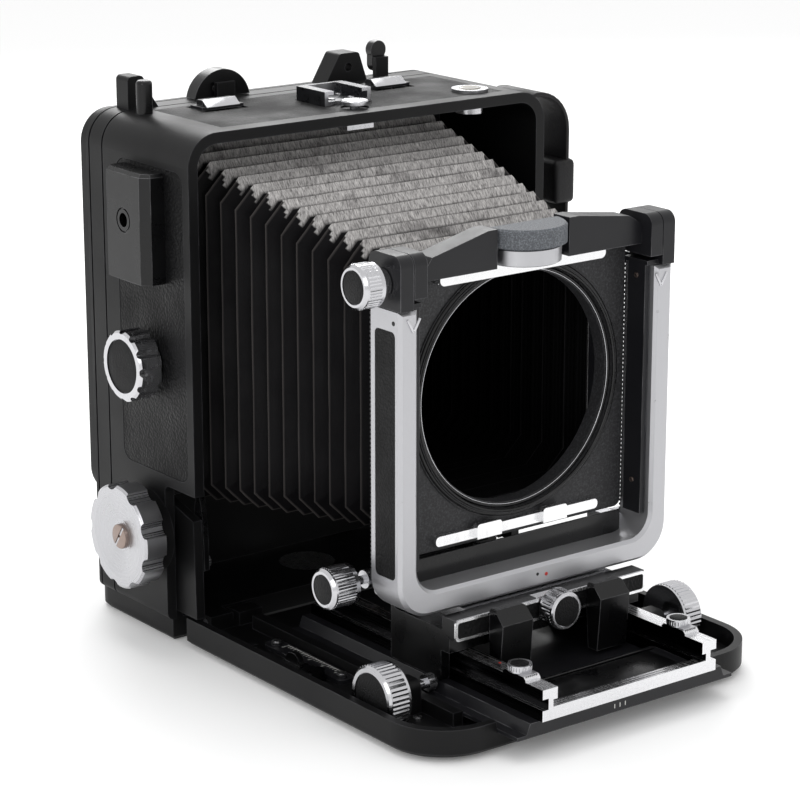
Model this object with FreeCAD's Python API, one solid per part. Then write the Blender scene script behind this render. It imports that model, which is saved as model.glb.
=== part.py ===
import FreeCAD, Part
import math
import os
from FreeCAD import Vector

# A 4x5 inch metal folding field camera, opened, with its front standard run out on the bed.
# Frame: +Z up, the lens looks along -Y, the camera's left side as seen from the front is -X.
# The origin is the mouth of the tripod bush, in the underside of the base. Millimetres.

# Housing: a box open to the front, carried on the base by a hinge along its rear bottom edge.
HOUSING_HALF_WIDTH = 81.0
HOUSING_FRONT_Y = -45.0
HOUSING_REAR_Y = 11.6
HOUSING_BOTTOM_Z = 9.3
HOUSING_TOP_Z = 193.6
HOUSING_WALL = 4.0
HOUSING_CORNER_R = 12.0
REAR_FRAME_DEPTH = 11.4
SIDE_STEP_Y = -25.0
SIDE_STEP_Z = 62.0
GATE_CENTRE_Z = 116.0
GATE_RADIUS = 69.5

# Revolving back and ground-glass back.
BACK_HALF = 75.0
BACK_DEPTH = 15.0
BACK_CORNER_R = 12.0
BACK_GATE_X = 61.0
BACK_GATE_Z = 49.0
GLASS_BACK_DEPTH = 9.0
GLASS_HALF_X = 66.0
GLASS_HALF_Z = 54.0

# Base and bed.
BASE_FRONT_Y = -23.0
BASE_REAR_Y = 31.0
BASE_HALF_WIDTH = 77.5
BASE_HEIGHT = 9.0
BUSH_RADIUS = 11.0
TRIPOD_BORE_R = 3.97
TRIPOD_BORE_DEPTH = 7.0
BED_HALF_WIDTH = 77.0
BED_REAR_Y = -31.5
BED_FRONT_Y = -178.0
BED_BOTTOM_Z = 1.5
BED_FLOOR_Z = 4.5
BED_RIM_Z = 11.5
BED_RIM = 3.0
BED_CORNER_R = 22.0
BED_HINGE_Y = -27.5
BED_HINGE_Z = 6.0

# Focusing track.
TRACK_FRONT_Y = -190.0
TRACK_LENGTH = 132.0
TRACK_HALF_WIDTH = 49.0
TRACK_BOTTOM_Z = 7.6
TRACK_TOP_Z = 12.7
RAIL_INNER_X = 33.0
RAIL_OUTER_X = 39.5
RAIL_TOP_Z = 24.0
FOCUS_SHAFT_Y = -138.0
FOCUS_SHAFT_Z = 12.4
FOCUS_KNOB_X = 63.0
FOCUS_KNOB_R = 11.4
FOCUS_KNOB_WIDTH = 9.0

# Front standard.
STANDARD_Y = -131.0
SHIFT_HALF_WIDTH = 43.5
SHIFT_FRONT_Y = -148.5
SHIFT_REAR_Y = -112.0
SHIFT_BOTTOM_Z = 29.3
SHIFT_TOP_Z = 37.0
FRAME_HALF_WIDTH = 61.0
FRAME_FRONT_Y = -140.0
FRAME_REAR_Y = -124.0
FRAME_BOTTOM_Z = 37.6
FRAME_TOP_Z = 146.0
LEG_WIDTH = 8.0
FRAME_SILL = 8.4
FRAME_CORNER_R = 13.0
TILT_AXIS_Z = 155.0
LENS_CENTRE_Z = 108.0
LENS_OPENING_R = 41.5
LENS_PANEL_HALF = 49.8
LENS_PANEL_BOTTOM_Z = 55.0
LENS_PANEL_TOP_Z = 160.0
LENS_PANEL_FRONT_Y = -127.0
LENS_PANEL_DEPTH = 6.0
RISE_SHAFT_Y = -117.5
RISE_SHAFT_Z = 47.0

# Bellows, from the frame inside the housing to the frame behind the lens panel.
BELLOWS_REAR_Y = 14.0
BELLOWS_FRONT_Y = -115.0
BELLOWS_REAR_HALF = 70.0
BELLOWS_FRONT_HALF = 49.0
BELLOWS_WALL = 3.0
BELLOWS_CUT_1_Y = -4.0
BELLOWS_CUT_2_Y = -78.0

# Knobs and small fittings.
LOW_KNOB_Y = -14.0
LOW_KNOB_Z = 42.0
LOW_KNOB_R = 19.5
MID_KNOB_Y = -17.0
MID_KNOB_Z = 107.0
MID_KNOB_R = 13.0

# Fits.
RUNNING = 0.05
GAP = 0.3
EMBED = 0.5

# Depths, pins and shafts.
LEATHER_DEPTH = 1.2
KNOB_SHAFT_R = 3.0
HOUSING_PIN_R = 1.8
BED_PIN_R = 1.6
BED_LUG_R = 3.6
RIVET_R = 1.6
FOCUS_SHAFT_R = 1.7
RISE_SHAFT_R = 1.6
PINION_R = 3.2
SWING_PIN_R = 5.0
TILT_PIN_R = 2.5
CATCH_STEM_R = 1.8
SIDE_BORE_R = 2.6
TAB_PIN_R = 1.3
LEVER_PIN_R = 1.2
STOP_SCREW_R = 1.5
CENTRE_STEM_R = 2.0

# Travels that set the length of a slot or a channel.
SHIFT_TRAVEL = 10.0
TAB_TRAVEL = 3.0
BACK_TILT_MAX = 15.0

# Hinge between base and housing, and the planes that follow from the housing.
HINGE_REACH = 3.0
HOUSING_HINGE_Y = HOUSING_REAR_Y + REAR_FRAME_DEPTH + HINGE_REACH
HOUSING_HINGE_Z = HOUSING_BOTTOM_Z + HINGE_REACH
BACK_REAR_Y = HOUSING_REAR_Y + REAR_FRAME_DEPTH + GAP + BACK_DEPTH
BELLOWS_PLATE_HALF = 73.3
BELLOWS_PLATE_OPENING = 66.0

# Racks and the cross slide.
RACK_PITCH = 1.6
RACK_INNER_X = 45.0
RACK_TOP_Z = FOCUS_SHAFT_Z - PINION_R - GAP
RACK_REAR_Y = RISE_SHAFT_Y - PINION_R - GAP
SLIDE_FRONT_Y = SHIFT_FRONT_Y + 7.5
SLIDE_REAR_Y = SHIFT_REAR_Y - 2.5
SLIDE_BOTTOM_Z = 32.0
CENTRE_KNOB_Z = 33.2

# Where the small fittings stand on the roof, the walls, the bed and the rails.
LEVEL_X = 55.9
LEVEL_Y = HOUSING_FRONT_Y + 14.3
LEVEL_R = 5.5
SHOE_X = 2.8
SHOE_Y = HOUSING_FRONT_Y + 29.0
LATCH_LEFT_X = -39.8
LATCH_RIGHT_X = 37.1
LATCH_Y = HOUSING_FRONT_Y + 43.0
CATCH_X = 0.0
CATCH_Y = HOUSING_FRONT_Y + 12.0
LUG_LOW_Z = 112.0
LUG_HIGH_Z = 172.0
STRAP_Y = -23.0
STRAP_HALF = 12.0
STRAP_REACH = 22.0
STRAP_RISE = 48.5
STRAP_BEND_R = 18.0
STRAP_THICKNESS = 2.0
GRIP_Y = -15.2
GRIP_Z = 160.0
TAB_X = -26.0
TAB_Y = HOUSING_REAR_Y + 3.4
BRACKET_X = 30.0
LEVER_X = 49.0
POST_X = -68.0
POST_Y = 3.0
POST_R = 3.0
STRUT_Y = HOUSING_FRONT_Y + 11.0
STRUT_Z = 33.0
LOCK_X = -66.0
LOCK_Y = -96.0
STOP_X = (RAIL_INNER_X + RAIL_OUTER_X) / 2
STOP_Y = -174.0

SIDES = (-1, 1)


def box(x0, x1, y0, y1, z0, z1):
    low = Vector(min(x0, x1), min(y0, y1), min(z0, z1))
    return Part.makeBox(abs(x1 - x0), abs(y1 - y0), abs(z1 - z0), low)


def sided(side, x_inner, x_outer, y0, y1, z0, z1):
    """A box between two distances from the middle plane, on one side of the camera."""
    return box(side * x_inner, side * x_outer, y0, y1, z0, z1)


def rod(x, y, z, radius, length, direction):
    return Part.makeCylinder(radius, length, Vector(x, y, z), Vector(*direction))


def side_rod(side, x_inner, x_outer, y, z, radius):
    """A cylinder along X between two distances from the middle plane."""
    return rod(side * x_inner, y, z, radius, x_outer - x_inner, (side, 0, 0))


def fuse(shapes):
    whole = shapes[0]
    if len(shapes) > 1:
        whole = shapes[0].fuse(list(shapes[1:]))
    return whole.removeSplitter()


def cut(shape, tools):
    return shape.cut(list(tools)).removeSplitter()


def edges_along(shape, axis, keep=lambda centre: True):
    """The straight edges that run along an axis and whose middle passes the test."""
    found = []
    for edge in shape.Edges:
        if edge.Curve.TypeId != "Part::GeomLine":
            continue
        run = edge.tangentAt(edge.FirstParameter)
        if abs(abs(run.dot(Vector(*axis))) - 1) < 1e-6 and keep(edge.CenterOfMass):
            found.append(edge)
    return found


def round_along(shape, axis, radius, keep=lambda centre: True):
    return shape.makeFillet(radius, edges_along(shape, axis, keep))


def bevel_along(shape, axis, size, keep=lambda centre: True):
    return shape.makeChamfer(size, edges_along(shape, axis, keep))


def bevel_end(shape, axis, position, size):
    """Bevels every edge that lies in the plane at a position along an axis."""
    edges = []
    for edge in shape.Edges:
        ends = [v.Point.dot(Vector(*axis)) for v in edge.Vertexes]
        middle = edge.CenterOfMass.dot(Vector(*axis))
        if all(abs(e - position) < 1e-4 for e in ends + [middle]):
            edges.append(edge)
    return shape.makeChamfer(size, edges)


def prism_x(points, x0, x1):
    """An outline of (y, z) points drawn out along X."""
    corners = [Vector(x0, y, z) for y, z in points]
    face = Part.Face(Part.makePolygon(corners + corners[:1]))
    return face.extrude(Vector(x1 - x0, 0, 0))


def prism_y(points, y0, y1):
    """An outline of (x, z) points drawn out along Y."""
    corners = [Vector(x, y0, z) for x, z in points]
    face = Part.Face(Part.makePolygon(corners + corners[:1]))
    return face.extrude(Vector(0, y1 - y0, 0))


def square_loop(half, centre_z, y, chamfer):
    """A closed wire: a square with cut corners, standing across Y."""
    low, high = centre_z - half, centre_z + half
    inner = half - chamfer
    ring = [
        (-inner, low), (inner, low), (half, low + chamfer), (half, high - chamfer),
        (inner, high), (-inner, high), (-half, high - chamfer), (-half, low + chamfer),
    ]
    corners = [Vector(x, y, z) for x, z in ring]
    return Part.makePolygon(corners + corners[:1])


def scalloped_disc(side, x_inner, x_outer, y, z, radius, scallops, depth):
    """A knob's rim with evenly spaced hollows for the fingers."""
    disc = side_rod(side, x_inner, x_outer, y, z, radius)
    disc = bevel_end(disc, (1, 0, 0), side * x_outer, 0.8)
    hollow_r = radius * math.pi / scallops * 0.55
    reach = radius + hollow_r - depth
    tools = []
    for i in range(scallops):
        turn = 2 * math.pi * i / scallops
        ty = y + reach * math.cos(turn)
        tz = z + reach * math.sin(turn)
        tools.append(side_rod(side, x_inner - 1, x_outer + 1, ty, tz, hollow_r))
    return cut(disc, tools)


# Base -------------------------------------------------------------------------------------------


def base_plate():
    """The block the whole camera stands on, with the side cheeks that carry bed and housing."""
    slab = box(-BASE_HALF_WIDTH, BASE_HALF_WIDTH, BASE_FRONT_Y, BASE_REAR_Y, 0, BASE_HEIGHT)
    slab = round_along(slab, (0, 0, 1), 8.0, lambda c: c.y > 0)
    slab = bevel_end(slab, (0, 0, 1), 0, 1.5)
    cheeks = [tilt_cheek(side) for side in SIDES]
    lugs = [housing_lug(side) for side in SIDES]
    ears = [hinge_ear(side) for side in SIDES]
    whole = fuse([slab] + cheeks + lugs + ears)
    bores = [
        rod(0, 0, -1, BUSH_RADIUS, BASE_HEIGHT + 2, (0, 0, 1)),
        rod(-41, HOUSING_HINGE_Y, HOUSING_HINGE_Z, HOUSING_PIN_R, 82, (1, 0, 0)),
        rod(-BASE_HALF_WIDTH, BED_HINGE_Y, BED_HINGE_Z, BED_PIN_R, 2 * BASE_HALF_WIDTH, (1, 0, 0)),
    ]
    return cut(whole, bores)


def housing_lug(side):
    """The base's half of the housing hinge: a knuckle with a foot behind it."""
    y, z = HOUSING_HINGE_Y, HOUSING_HINGE_Z
    knuckle = side_rod(side, 30, 40, y, z, HOUSING_PIN_R + 0.8)
    foot = sided(side, 30, 40, y - 2.4, y + 2.4, BASE_HEIGHT - EMBED, z)
    back = sided(side, 30, 40, y, BASE_REAR_Y - 0.5, BASE_HEIGHT - EMBED, z + 2.4)
    return fuse([knuckle, foot, back])


def tilt_cheek(side):
    """An upright plate inside the housing wall, with the curved slot of the tilt lock."""
    inner, outer = 73.0, HOUSING_HALF_WIDTH - HOUSING_WALL - GAP
    outline = [
        (BASE_FRONT_Y, BASE_HEIGHT - EMBED), (6.0, BASE_HEIGHT - EMBED), (8.0, 44.0),
        (2.0, 56.0), (-14.0, 56.0), (-37.0, 50.0), (-38.0, 12.5), (BASE_FRONT_Y, 12.5),
    ]
    plate = prism_x(outline, side * inner, side * outer)
    tools = []
    steps = 10
    for step in range(steps + 1):
        y, z = tilted(LOW_KNOB_Y, LOW_KNOB_Z, -1.0 + (BACK_TILT_MAX + 2.0) * step / steps)
        tools.append(side_rod(side, inner - 1, outer + 1, y, z, KNOB_SHAFT_R + GAP))
    return cut(plate, tools)


def tilted(y, z, degrees):
    """Where a point of the housing stands once the housing leans back by an angle."""
    turn = math.radians(degrees)
    dy, dz = y - HOUSING_HINGE_Y, z - HOUSING_HINGE_Z
    new_y = HOUSING_HINGE_Y + dy * math.cos(turn) + dz * math.sin(turn)
    new_z = HOUSING_HINGE_Z + dz * math.cos(turn) - dy * math.sin(turn)
    return new_y, new_z


def hinge_ear(side):
    """The base's half of the bed hinge."""
    return sided(side, 56, 66, BED_HINGE_Y - 3.6, BASE_FRONT_Y + EMBED, BED_HINGE_Z - 3.2, BED_HINGE_Z + 3.0)


def tripod_bush():
    ring = rod(0, 0, 0, BUSH_RADIUS, BASE_HEIGHT, (0, 0, 1))
    ring = bevel_end(ring, (0, 0, 1), 0, 0.5)
    return cut(ring, [rod(0, 0, -1, TRIPOD_BORE_R, TRIPOD_BORE_DEPTH + 1, (0, 0, 1))])


def hinge_pins():
    """The bed's hinge pins and the housing's hinge pins, all held in the base."""
    pins = [side_rod(side, 52, 66, BED_HINGE_Y, BED_HINGE_Z, BED_PIN_R) for side in SIDES]
    pins += [side_rod(side, 20, 40, HOUSING_HINGE_Y, HOUSING_HINGE_Z, HOUSING_PIN_R) for side in SIDES]
    return Part.makeCompound(pins)


# Housing ----------------------------------------------------------------------------------------


def housing_outline(y0, y1, shrink=0.0):
    """The housing's outer block between two planes, rounded along its long edges."""
    w = HOUSING_HALF_WIDTH - shrink
    block = box(-w, w, y0, y1, HOUSING_BOTTOM_Z + shrink, HOUSING_TOP_Z - shrink)
    block = round_along(block, (0, 1, 0), HOUSING_CORNER_R, lambda c: c.z > 100)
    return round_along(block, (0, 1, 0), 3.0, lambda c: c.z < 100)


def housing_cavity(y0, y1):
    w = HOUSING_HALF_WIDTH - HOUSING_WALL
    space = box(-w, w, y0, y1, HOUSING_BOTTOM_Z - 5, HOUSING_TOP_Z - HOUSING_WALL)
    return round_along(space, (0, 1, 0), HOUSING_CORNER_R - HOUSING_WALL, lambda c: c.z > 100)


def housing_shell():
    """Side walls and roof in one casting, stepped back at the lower front for the bed."""
    shell = housing_outline(HOUSING_FRONT_Y, HOUSING_REAR_Y)
    w = HOUSING_HALF_WIDTH
    step = box(-w - 1, w + 1, HOUSING_FRONT_Y - 1, SIDE_STEP_Y, HOUSING_BOTTOM_Z - 1, SIDE_STEP_Z)
    step = round_along(step, (1, 0, 0), 3.0, lambda c: c.z > SIDE_STEP_Z - 1 and c.y > SIDE_STEP_Y - 1)
    tools = [housing_cavity(HOUSING_FRONT_Y - 1, HOUSING_REAR_Y + 1), step]
    for side in SIDES:
        tools.append(side_panel(side, LEATHER_DEPTH, 0.0))
        tools.append(
            side_rod(side, w - HOUSING_WALL - 1, w + 1, LOW_KNOB_Y, LOW_KNOB_Z, KNOB_SHAFT_R + RUNNING),
        )
    tools.append(side_rod(-1, w - HOUSING_WALL - 1, w + 1, MID_KNOB_Y, MID_KNOB_Z, KNOB_SHAFT_R + RUNNING))
    tools.append(
        box(-62, 66, HOUSING_FRONT_Y + 7, HOUSING_REAR_Y - 5, HOUSING_TOP_Z - 0.6, HOUSING_TOP_Z + 1),
    )
    tools.append(rod(LEVEL_X, LEVEL_Y, HOUSING_TOP_Z - 8, LEVEL_R, 10, (0, 0, 1)))
    for x in (LATCH_LEFT_X, LATCH_RIGHT_X):
        tools.append(box(x - 3, x + 3, LATCH_Y - 5, LATCH_Y + 5, HOUSING_TOP_Z - 8, HOUSING_TOP_Z + 1))
    tools.append(rod(CATCH_X, CATCH_Y, HOUSING_TOP_Z - 8, CATCH_STEM_R + RUNNING, 10, (0, 0, 1)))
    tools.append(rod(POST_X, POST_Y, HOUSING_TOP_Z - 8, POST_R + RUNNING, 10, (0, 0, 1)))
    shell = cut(shell, tools)
    bosses = []
    for side in SIDES:
        ring = side_rod(side, w - EMBED, w + 4, LOW_KNOB_Y, LOW_KNOB_Z, 16.0)
        bosses.append(
            cut(ring, [side_rod(side, w - 2, w + 5, LOW_KNOB_Y, LOW_KNOB_Z, KNOB_SHAFT_R + RUNNING)]),
        )
    return fuse([shell] + bosses)


def side_panel(side, depth, margin):
    """The rounded field on each side wall that the leather fills."""
    w = HOUSING_HALF_WIDTH
    field = sided(
        side, w - depth, w + 1, HOUSING_FRONT_Y + 4 + margin, 2.5 - margin, 66 + margin, 179.5 - margin,
    )
    return round_along(field, (1, 0, 0), 5.0)


def side_leathers():
    """Leather panels let into the two side walls."""
    sheets = []
    w = HOUSING_HALF_WIDTH
    for side in SIDES:
        sheet = side_panel(side, LEATHER_DEPTH, 0.15)
        sheet = cut(sheet, [sided(side, w - 0.1, w + 2, -60, 20, 50, 200)])
        if side < 0:
            sheet = cut(sheet, [side_rod(side, w - 3, w + 3, MID_KNOB_Y, MID_KNOB_Z, KNOB_SHAFT_R + GAP)])
            sheet = cut(sheet, [side_mount_body()])
        else:
            sheet = cut(sheet, lug_boxes(GAP / 2))
        sheets.append(sheet)
    return Part.makeCompound(sheets)


def rear_frame():
    """The ribbed frame that closes the back of the housing and holds the revolving back."""
    y0 = HOUSING_REAR_Y
    y1 = y0 + REAR_FRAME_DEPTH
    block = housing_outline(y0, y1)
    tools = []
    for y in (y0, y1 - 2.4):
        skin = housing_outline(y, y + 0.9)
        tools.append(skin.cut(housing_outline(y - 1, y + 2, 0.8)))
    tools.append(housing_cavity(y0 - 1, y1 - 4.0))
    tools.append(rod(0, y0, GATE_CENTRE_Z, GATE_RADIUS + RUNNING, REAR_FRAME_DEPTH + 1, (0, 1, 0)))
    block = cut(block, tools)
    lugs = []
    for side in SIDES:
        lug = sided(
            side, 20, 29.7, y1 - EMBED, HOUSING_HINGE_Y + 2.6, HOUSING_BOTTOM_Z + 0.7, HOUSING_HINGE_Z + 3,
        )
        lugs.append(lug)
    whole = fuse([block] + lugs)
    return cut(whole, [rod(-31, HOUSING_HINGE_Y, HOUSING_HINGE_Z, HOUSING_PIN_R + RUNNING, 62, (1, 0, 0))])


def top_leather():
    """Leather cover on the roof, pierced for the fittings that stand on it."""
    w = HOUSING_TOP_Z
    sheet = box(-61.9, 65.9, HOUSING_FRONT_Y + 7.1, HOUSING_REAR_Y - 5.1, w - 0.6, w)
    tools = [rod(LEVEL_X, LEVEL_Y, w - 2, LEVEL_R + 1.6, 4, (0, 0, 1))]
    for x in (LATCH_LEFT_X, LATCH_RIGHT_X):
        tools.append(box(x - 9.2, x + 9.2, LATCH_Y - 7.2, LATCH_Y + 7.2, w - 2, w + 2))
    tools.append(box(SHOE_X - 11, SHOE_X + 11, SHOE_Y - 9.5, SHOE_Y + 9.5, w - 2, w + 2))
    tools.append(rod(CATCH_X, CATCH_Y, w - 2, 5.3, 4, (0, 0, 1)))
    return cut(sheet, tools)


def accessory_shoe():
    """A hot-shoe sized slide with turned-over lips."""
    w = HOUSING_TOP_Z
    base = box(SHOE_X - 10.5, SHOE_X + 10.5, SHOE_Y - 9, SHOE_Y + 9, w - 0.6, w + 1.4)
    walls = [box(SHOE_X + s * 8.9, SHOE_X + s * 10.5, SHOE_Y - 9, SHOE_Y + 9, w, w + 5.2) for s in SIDES]
    lips = [box(SHOE_X + s * 6.4, SHOE_X + s * 10.5, SHOE_Y - 9, SHOE_Y + 9, w + 3.9, w + 5.2) for s in SIDES]
    stop = box(SHOE_X - 10.5, SHOE_X + 10.5, SHOE_Y + 7.5, SHOE_Y + 9, w, w + 5.2)
    return fuse([base, stop] + walls + lips)


def spirit_level():
    """The round level's cup: a flange on the roof and a stem under it."""
    w = HOUSING_TOP_Z
    flange = rod(LEVEL_X, LEVEL_Y, w - 0.6, LEVEL_R + 1.5, 1.8, (0, 0, 1))
    stem = rod(LEVEL_X, LEVEL_Y, w - 8, LEVEL_R - 0.05, 8, (0, 0, 1))
    cup = fuse([flange, stem])
    return cut(cup, [rod(LEVEL_X, LEVEL_Y, w - 5, LEVEL_R - 1.2, 8, (0, 0, 1))])


def level_glass():
    """The level's domed glass."""
    w = HOUSING_TOP_Z
    vial = rod(LEVEL_X, LEVEL_Y, w - 5, LEVEL_R - 1.25, 6.6, (0, 0, 1))
    return vial.makeFillet(0.9, [e for e in vial.Edges if e.CenterOfMass.z > w + 1])


def side_mount_body():
    """The bevelled block on the left wall that takes a grip or a finder."""
    w = HOUSING_HALF_WIDTH
    block = sided(-1, w - LEATHER_DEPTH, w + 8.5, -29, -1.4, 138, 178)
    block = bevel_along(block, (0, 0, 1), 3.0, lambda c: c.x < -w)
    return bevel_end(block, (0, 0, 1), 178, 1.2)


def side_mount():
    w = HOUSING_HALF_WIDTH
    bore = side_rod(-1, w + 1.5, w + 9, GRIP_Y, GRIP_Z, SIDE_BORE_R)
    ring = side_rod(-1, w + 7.9, w + 9, GRIP_Y, GRIP_Z, 4.6)
    ring = cut(ring, [side_rod(-1, w + 7, w + 10, GRIP_Y, GRIP_Z, 3.9)])
    return cut(side_mount_body(), [bore, ring])


def lug_boxes(grow):
    """The two strap lugs on the right wall, as blocks, upper and lower."""
    w = HOUSING_HALF_WIDTH
    blocks = []
    for z in (LUG_LOW_Z, LUG_HIGH_Z):
        reach, rise = 9 + grow, 5 + grow
        blocks.append(
            sided(1, w - LEATHER_DEPTH, w + 5.0, STRAP_Y - reach, STRAP_Y + reach, z - rise, z + rise)
        )
    return blocks


def strap_lugs():
    """Metal lugs with a cross bar for the carrying strap."""
    w = HOUSING_HALF_WIDTH
    lugs = []
    for block in lug_boxes(0.0):
        z = block.CenterOfMass.z
        slot = box(w + 0.8, w + 3.4, STRAP_Y - 7, STRAP_Y + 7, z - 6, z + 6)
        lugs.append(cut(round_along(block, (1, 0, 0), 1.5), [slot]))
    return Part.makeCompound(lugs)


def handle_strap():
    """A wide leather strap standing off the wall in a D, with its sleeve, held by two lugs."""
    w = HOUSING_HALF_WIDTH
    out = w + STRAP_REACH
    near, far = STRAP_Y - STRAP_HALF, STRAP_Y + STRAP_HALF
    middle = (LUG_HIGH_Z + LUG_LOW_Z) / 2
    low, high = middle - STRAP_RISE, middle + STRAP_RISE
    t = STRAP_THICKNESS
    outer = box(w + 1.1, out, near, far, low, high)
    outer = round_along(outer, (0, 1, 0), STRAP_BEND_R, lambda c: c.x > w + 10)
    outer = round_along(outer, (0, 1, 0), 3.0, lambda c: c.x < w + 10)
    inner = box(w + 1.1 + t, out - t, near - 1, far + 1, low + t, high - t)
    inner = round_along(inner, (0, 1, 0), STRAP_BEND_R - t, lambda c: c.x > w + 10)
    inner = round_along(inner, (0, 1, 0), 1.0, lambda c: c.x < w + 10)
    gap = box(w, w + 1.1 + t, near - 1, far + 1, LUG_LOW_Z + 6.5, LUG_HIGH_Z - 6.5)
    sides = []
    for start, stop in ((near - 1, STRAP_Y - 6), (STRAP_Y + 6, far + 1)):
        sides.append(box(w, w + 1.1 + t, start, stop, LUG_LOW_Z - 8, LUG_HIGH_Z + 8))
    band = cut(outer, [inner, gap] + sides)
    sleeve = box(out - 8.0, out + 2.6, near - 1.2, far + 1.2, middle + 3, middle + 21)
    sleeve = round_along(sleeve, (0, 0, 1), 2.5)
    return fuse([band, sleeve])


def top_latch(x):
    """A sliding latch on the roof: a silver front plate with a ribbed grip."""
    w = HOUSING_TOP_Z
    plate = box(x - 9, x + 9, LATCH_Y - 4, LATCH_Y + 4, w, w + 1.2)
    grip = box(x - 7, x + 7, LATCH_Y - 1, LATCH_Y + 3, w + 1.0, w + 3.2)
    grip = round_along(grip, (1, 0, 0), 0.8, lambda c: c.z > w + 2)
    stem = box(x - 2.7, x + 2.7, LATCH_Y - 1.5, LATCH_Y + 1.5, w - 5, w + 0.5)
    return fuse([plate, grip, stem])


def roof_catch():
    """The push catch that holds the closed bed: a button on the roof, a hook under it."""
    w = HOUSING_TOP_Z
    button = rod(CATCH_X, CATCH_Y, w + 1.2, 5.0, 1.6, (0, 0, 1))
    button = bevel_end(button, (0, 0, 1), w + 2.8, 0.4)
    stem = rod(CATCH_X, CATCH_Y, w - 6.5, CATCH_STEM_R, 8.2, (0, 0, 1))
    hook = box(CATCH_X - 6, CATCH_X + 6, CATCH_Y - 3.5, CATCH_Y + 2, w - 7.6, w - 5.8)
    return fuse([button, stem, hook])


def bellows_rear_frame():
    """The square frame in the housing that the bellows are glued to."""
    low, high = GATE_CENTRE_Z - BELLOWS_PLATE_HALF, GATE_CENTRE_Z + BELLOWS_PLATE_HALF
    hole = BELLOWS_PLATE_OPENING
    outer = box(-76.9, 76.9, BELLOWS_REAR_Y + 0.2, BELLOWS_REAR_Y + 4.6, low, high)
    outer = round_along(outer, (0, 1, 0), HOUSING_CORNER_R - HOUSING_WALL + 1)
    inner = box(
        -hole, hole, BELLOWS_REAR_Y - 1, BELLOWS_REAR_Y + 6, GATE_CENTRE_Z - hole, GATE_CENTRE_Z + hole,
    )
    return cut(outer, [inner])


def low_knob(side):
    """The big lock knob low on the side wall, with its shaft through the curved slot."""
    w = HOUSING_HALF_WIDTH
    rim = scalloped_disc(side, w + 5.0, w + 14.0, LOW_KNOB_Y, LOW_KNOB_Z, LOW_KNOB_R, 9, 1.8)
    dish = Part.makeCone(
        LOW_KNOB_R - 4.0, 6.0, 2.0, Vector(side * (w + 14.0), LOW_KNOB_Y, LOW_KNOB_Z), Vector(-side, 0, 0),
    )
    rim = cut(rim, [dish])
    neck = side_rod(side, w + 4.0 + GAP / 3, w + 6.0, LOW_KNOB_Y, LOW_KNOB_Z, 14.0)
    shaft = side_rod(side, 70.0, w + 6.0, LOW_KNOB_Y, LOW_KNOB_Z, KNOB_SHAFT_R)
    nut = side_rod(side, 69.0, 72.6, LOW_KNOB_Y, LOW_KNOB_Z, 6.0)
    screw = side_rod(side, w + 11.0, w + 13.2, LOW_KNOB_Y, LOW_KNOB_Z, 4.5)
    slot = sided(side, w + 12.6, w + 14, LOW_KNOB_Y - 5, LOW_KNOB_Y + 5, LOW_KNOB_Z - 0.5, LOW_KNOB_Z + 0.5)
    return cut(fuse([rim, neck, shaft, nut, screw]), [slot])


def mid_knob():
    """The smaller knob halfway up the left wall, with a hollow face for its leather disc."""
    w = HOUSING_HALF_WIDTH
    rim = scalloped_disc(-1, w + 3.0, w + 12.0, MID_KNOB_Y, MID_KNOB_Z, MID_KNOB_R, 12, 1.0)
    rim = cut(rim, [side_rod(-1, w + 11.2, w + 13.0, MID_KNOB_Y, MID_KNOB_Z, MID_KNOB_R - 3.0)])
    neck = side_rod(-1, w + GAP, w + 4.0, MID_KNOB_Y, MID_KNOB_Z, 8.5)
    shaft = side_rod(-1, w - HOUSING_WALL, w + 4.0, MID_KNOB_Y, MID_KNOB_Z, KNOB_SHAFT_R)
    return fuse([rim, neck, shaft])


# Back -------------------------------------------------------------------------------------------


def revolving_back():
    """A square back that turns in the rear frame, with the film gate through it."""
    y0 = HOUSING_REAR_Y + REAR_FRAME_DEPTH + GAP
    body = box(
        -BACK_HALF, BACK_HALF, y0, y0 + BACK_DEPTH, GATE_CENTRE_Z - BACK_HALF, GATE_CENTRE_Z + BACK_HALF,
    )
    body = round_along(body, (0, 1, 0), BACK_CORNER_R)
    body = bevel_end(body, (0, 1, 0), y0 + BACK_DEPTH, 1.5)
    spigot = rod(0, BELLOWS_REAR_Y + 5.2, GATE_CENTRE_Z, GATE_RADIUS, 8, (0, 1, 0))
    gate = box(-BACK_GATE_X, BACK_GATE_X, 0, 60, GATE_CENTRE_Z - BACK_GATE_Z, GATE_CENTRE_Z + BACK_GATE_Z)
    return cut(fuse([body, spigot]), [gate])


def glass_back_frame():
    """The sprung frame that holds the ground glass and gives way to a film holder."""
    y0 = BACK_REAR_Y
    frame = box(
        -GLASS_HALF_X, GLASS_HALF_X, y0, y0 + GLASS_BACK_DEPTH, GATE_CENTRE_Z - GLASS_HALF_Z,
        GATE_CENTRE_Z + GLASS_HALF_Z,
    )
    frame = round_along(frame, (0, 1, 0), 3.0)
    frame = bevel_end(frame, (0, 1, 0), y0 + GLASS_BACK_DEPTH, 1.0)
    window = box(-60, 60, y0 - 1, y0 + 20, GATE_CENTRE_Z - 47.5, GATE_CENTRE_Z + 47.5)
    rebate = box(-62.5, 62.5, y0 - 1, y0 + 3.0, GATE_CENTRE_Z - 50.5, GATE_CENTRE_Z + 50.5)
    return cut(frame, [window, rebate])


def ground_glass():
    y0 = BACK_REAR_Y
    return box(-62.2, 62.2, y0 + 0.4, y0 + 3.0, GATE_CENTRE_Z - 50.2, GATE_CENTRE_Z + 50.2)


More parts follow.
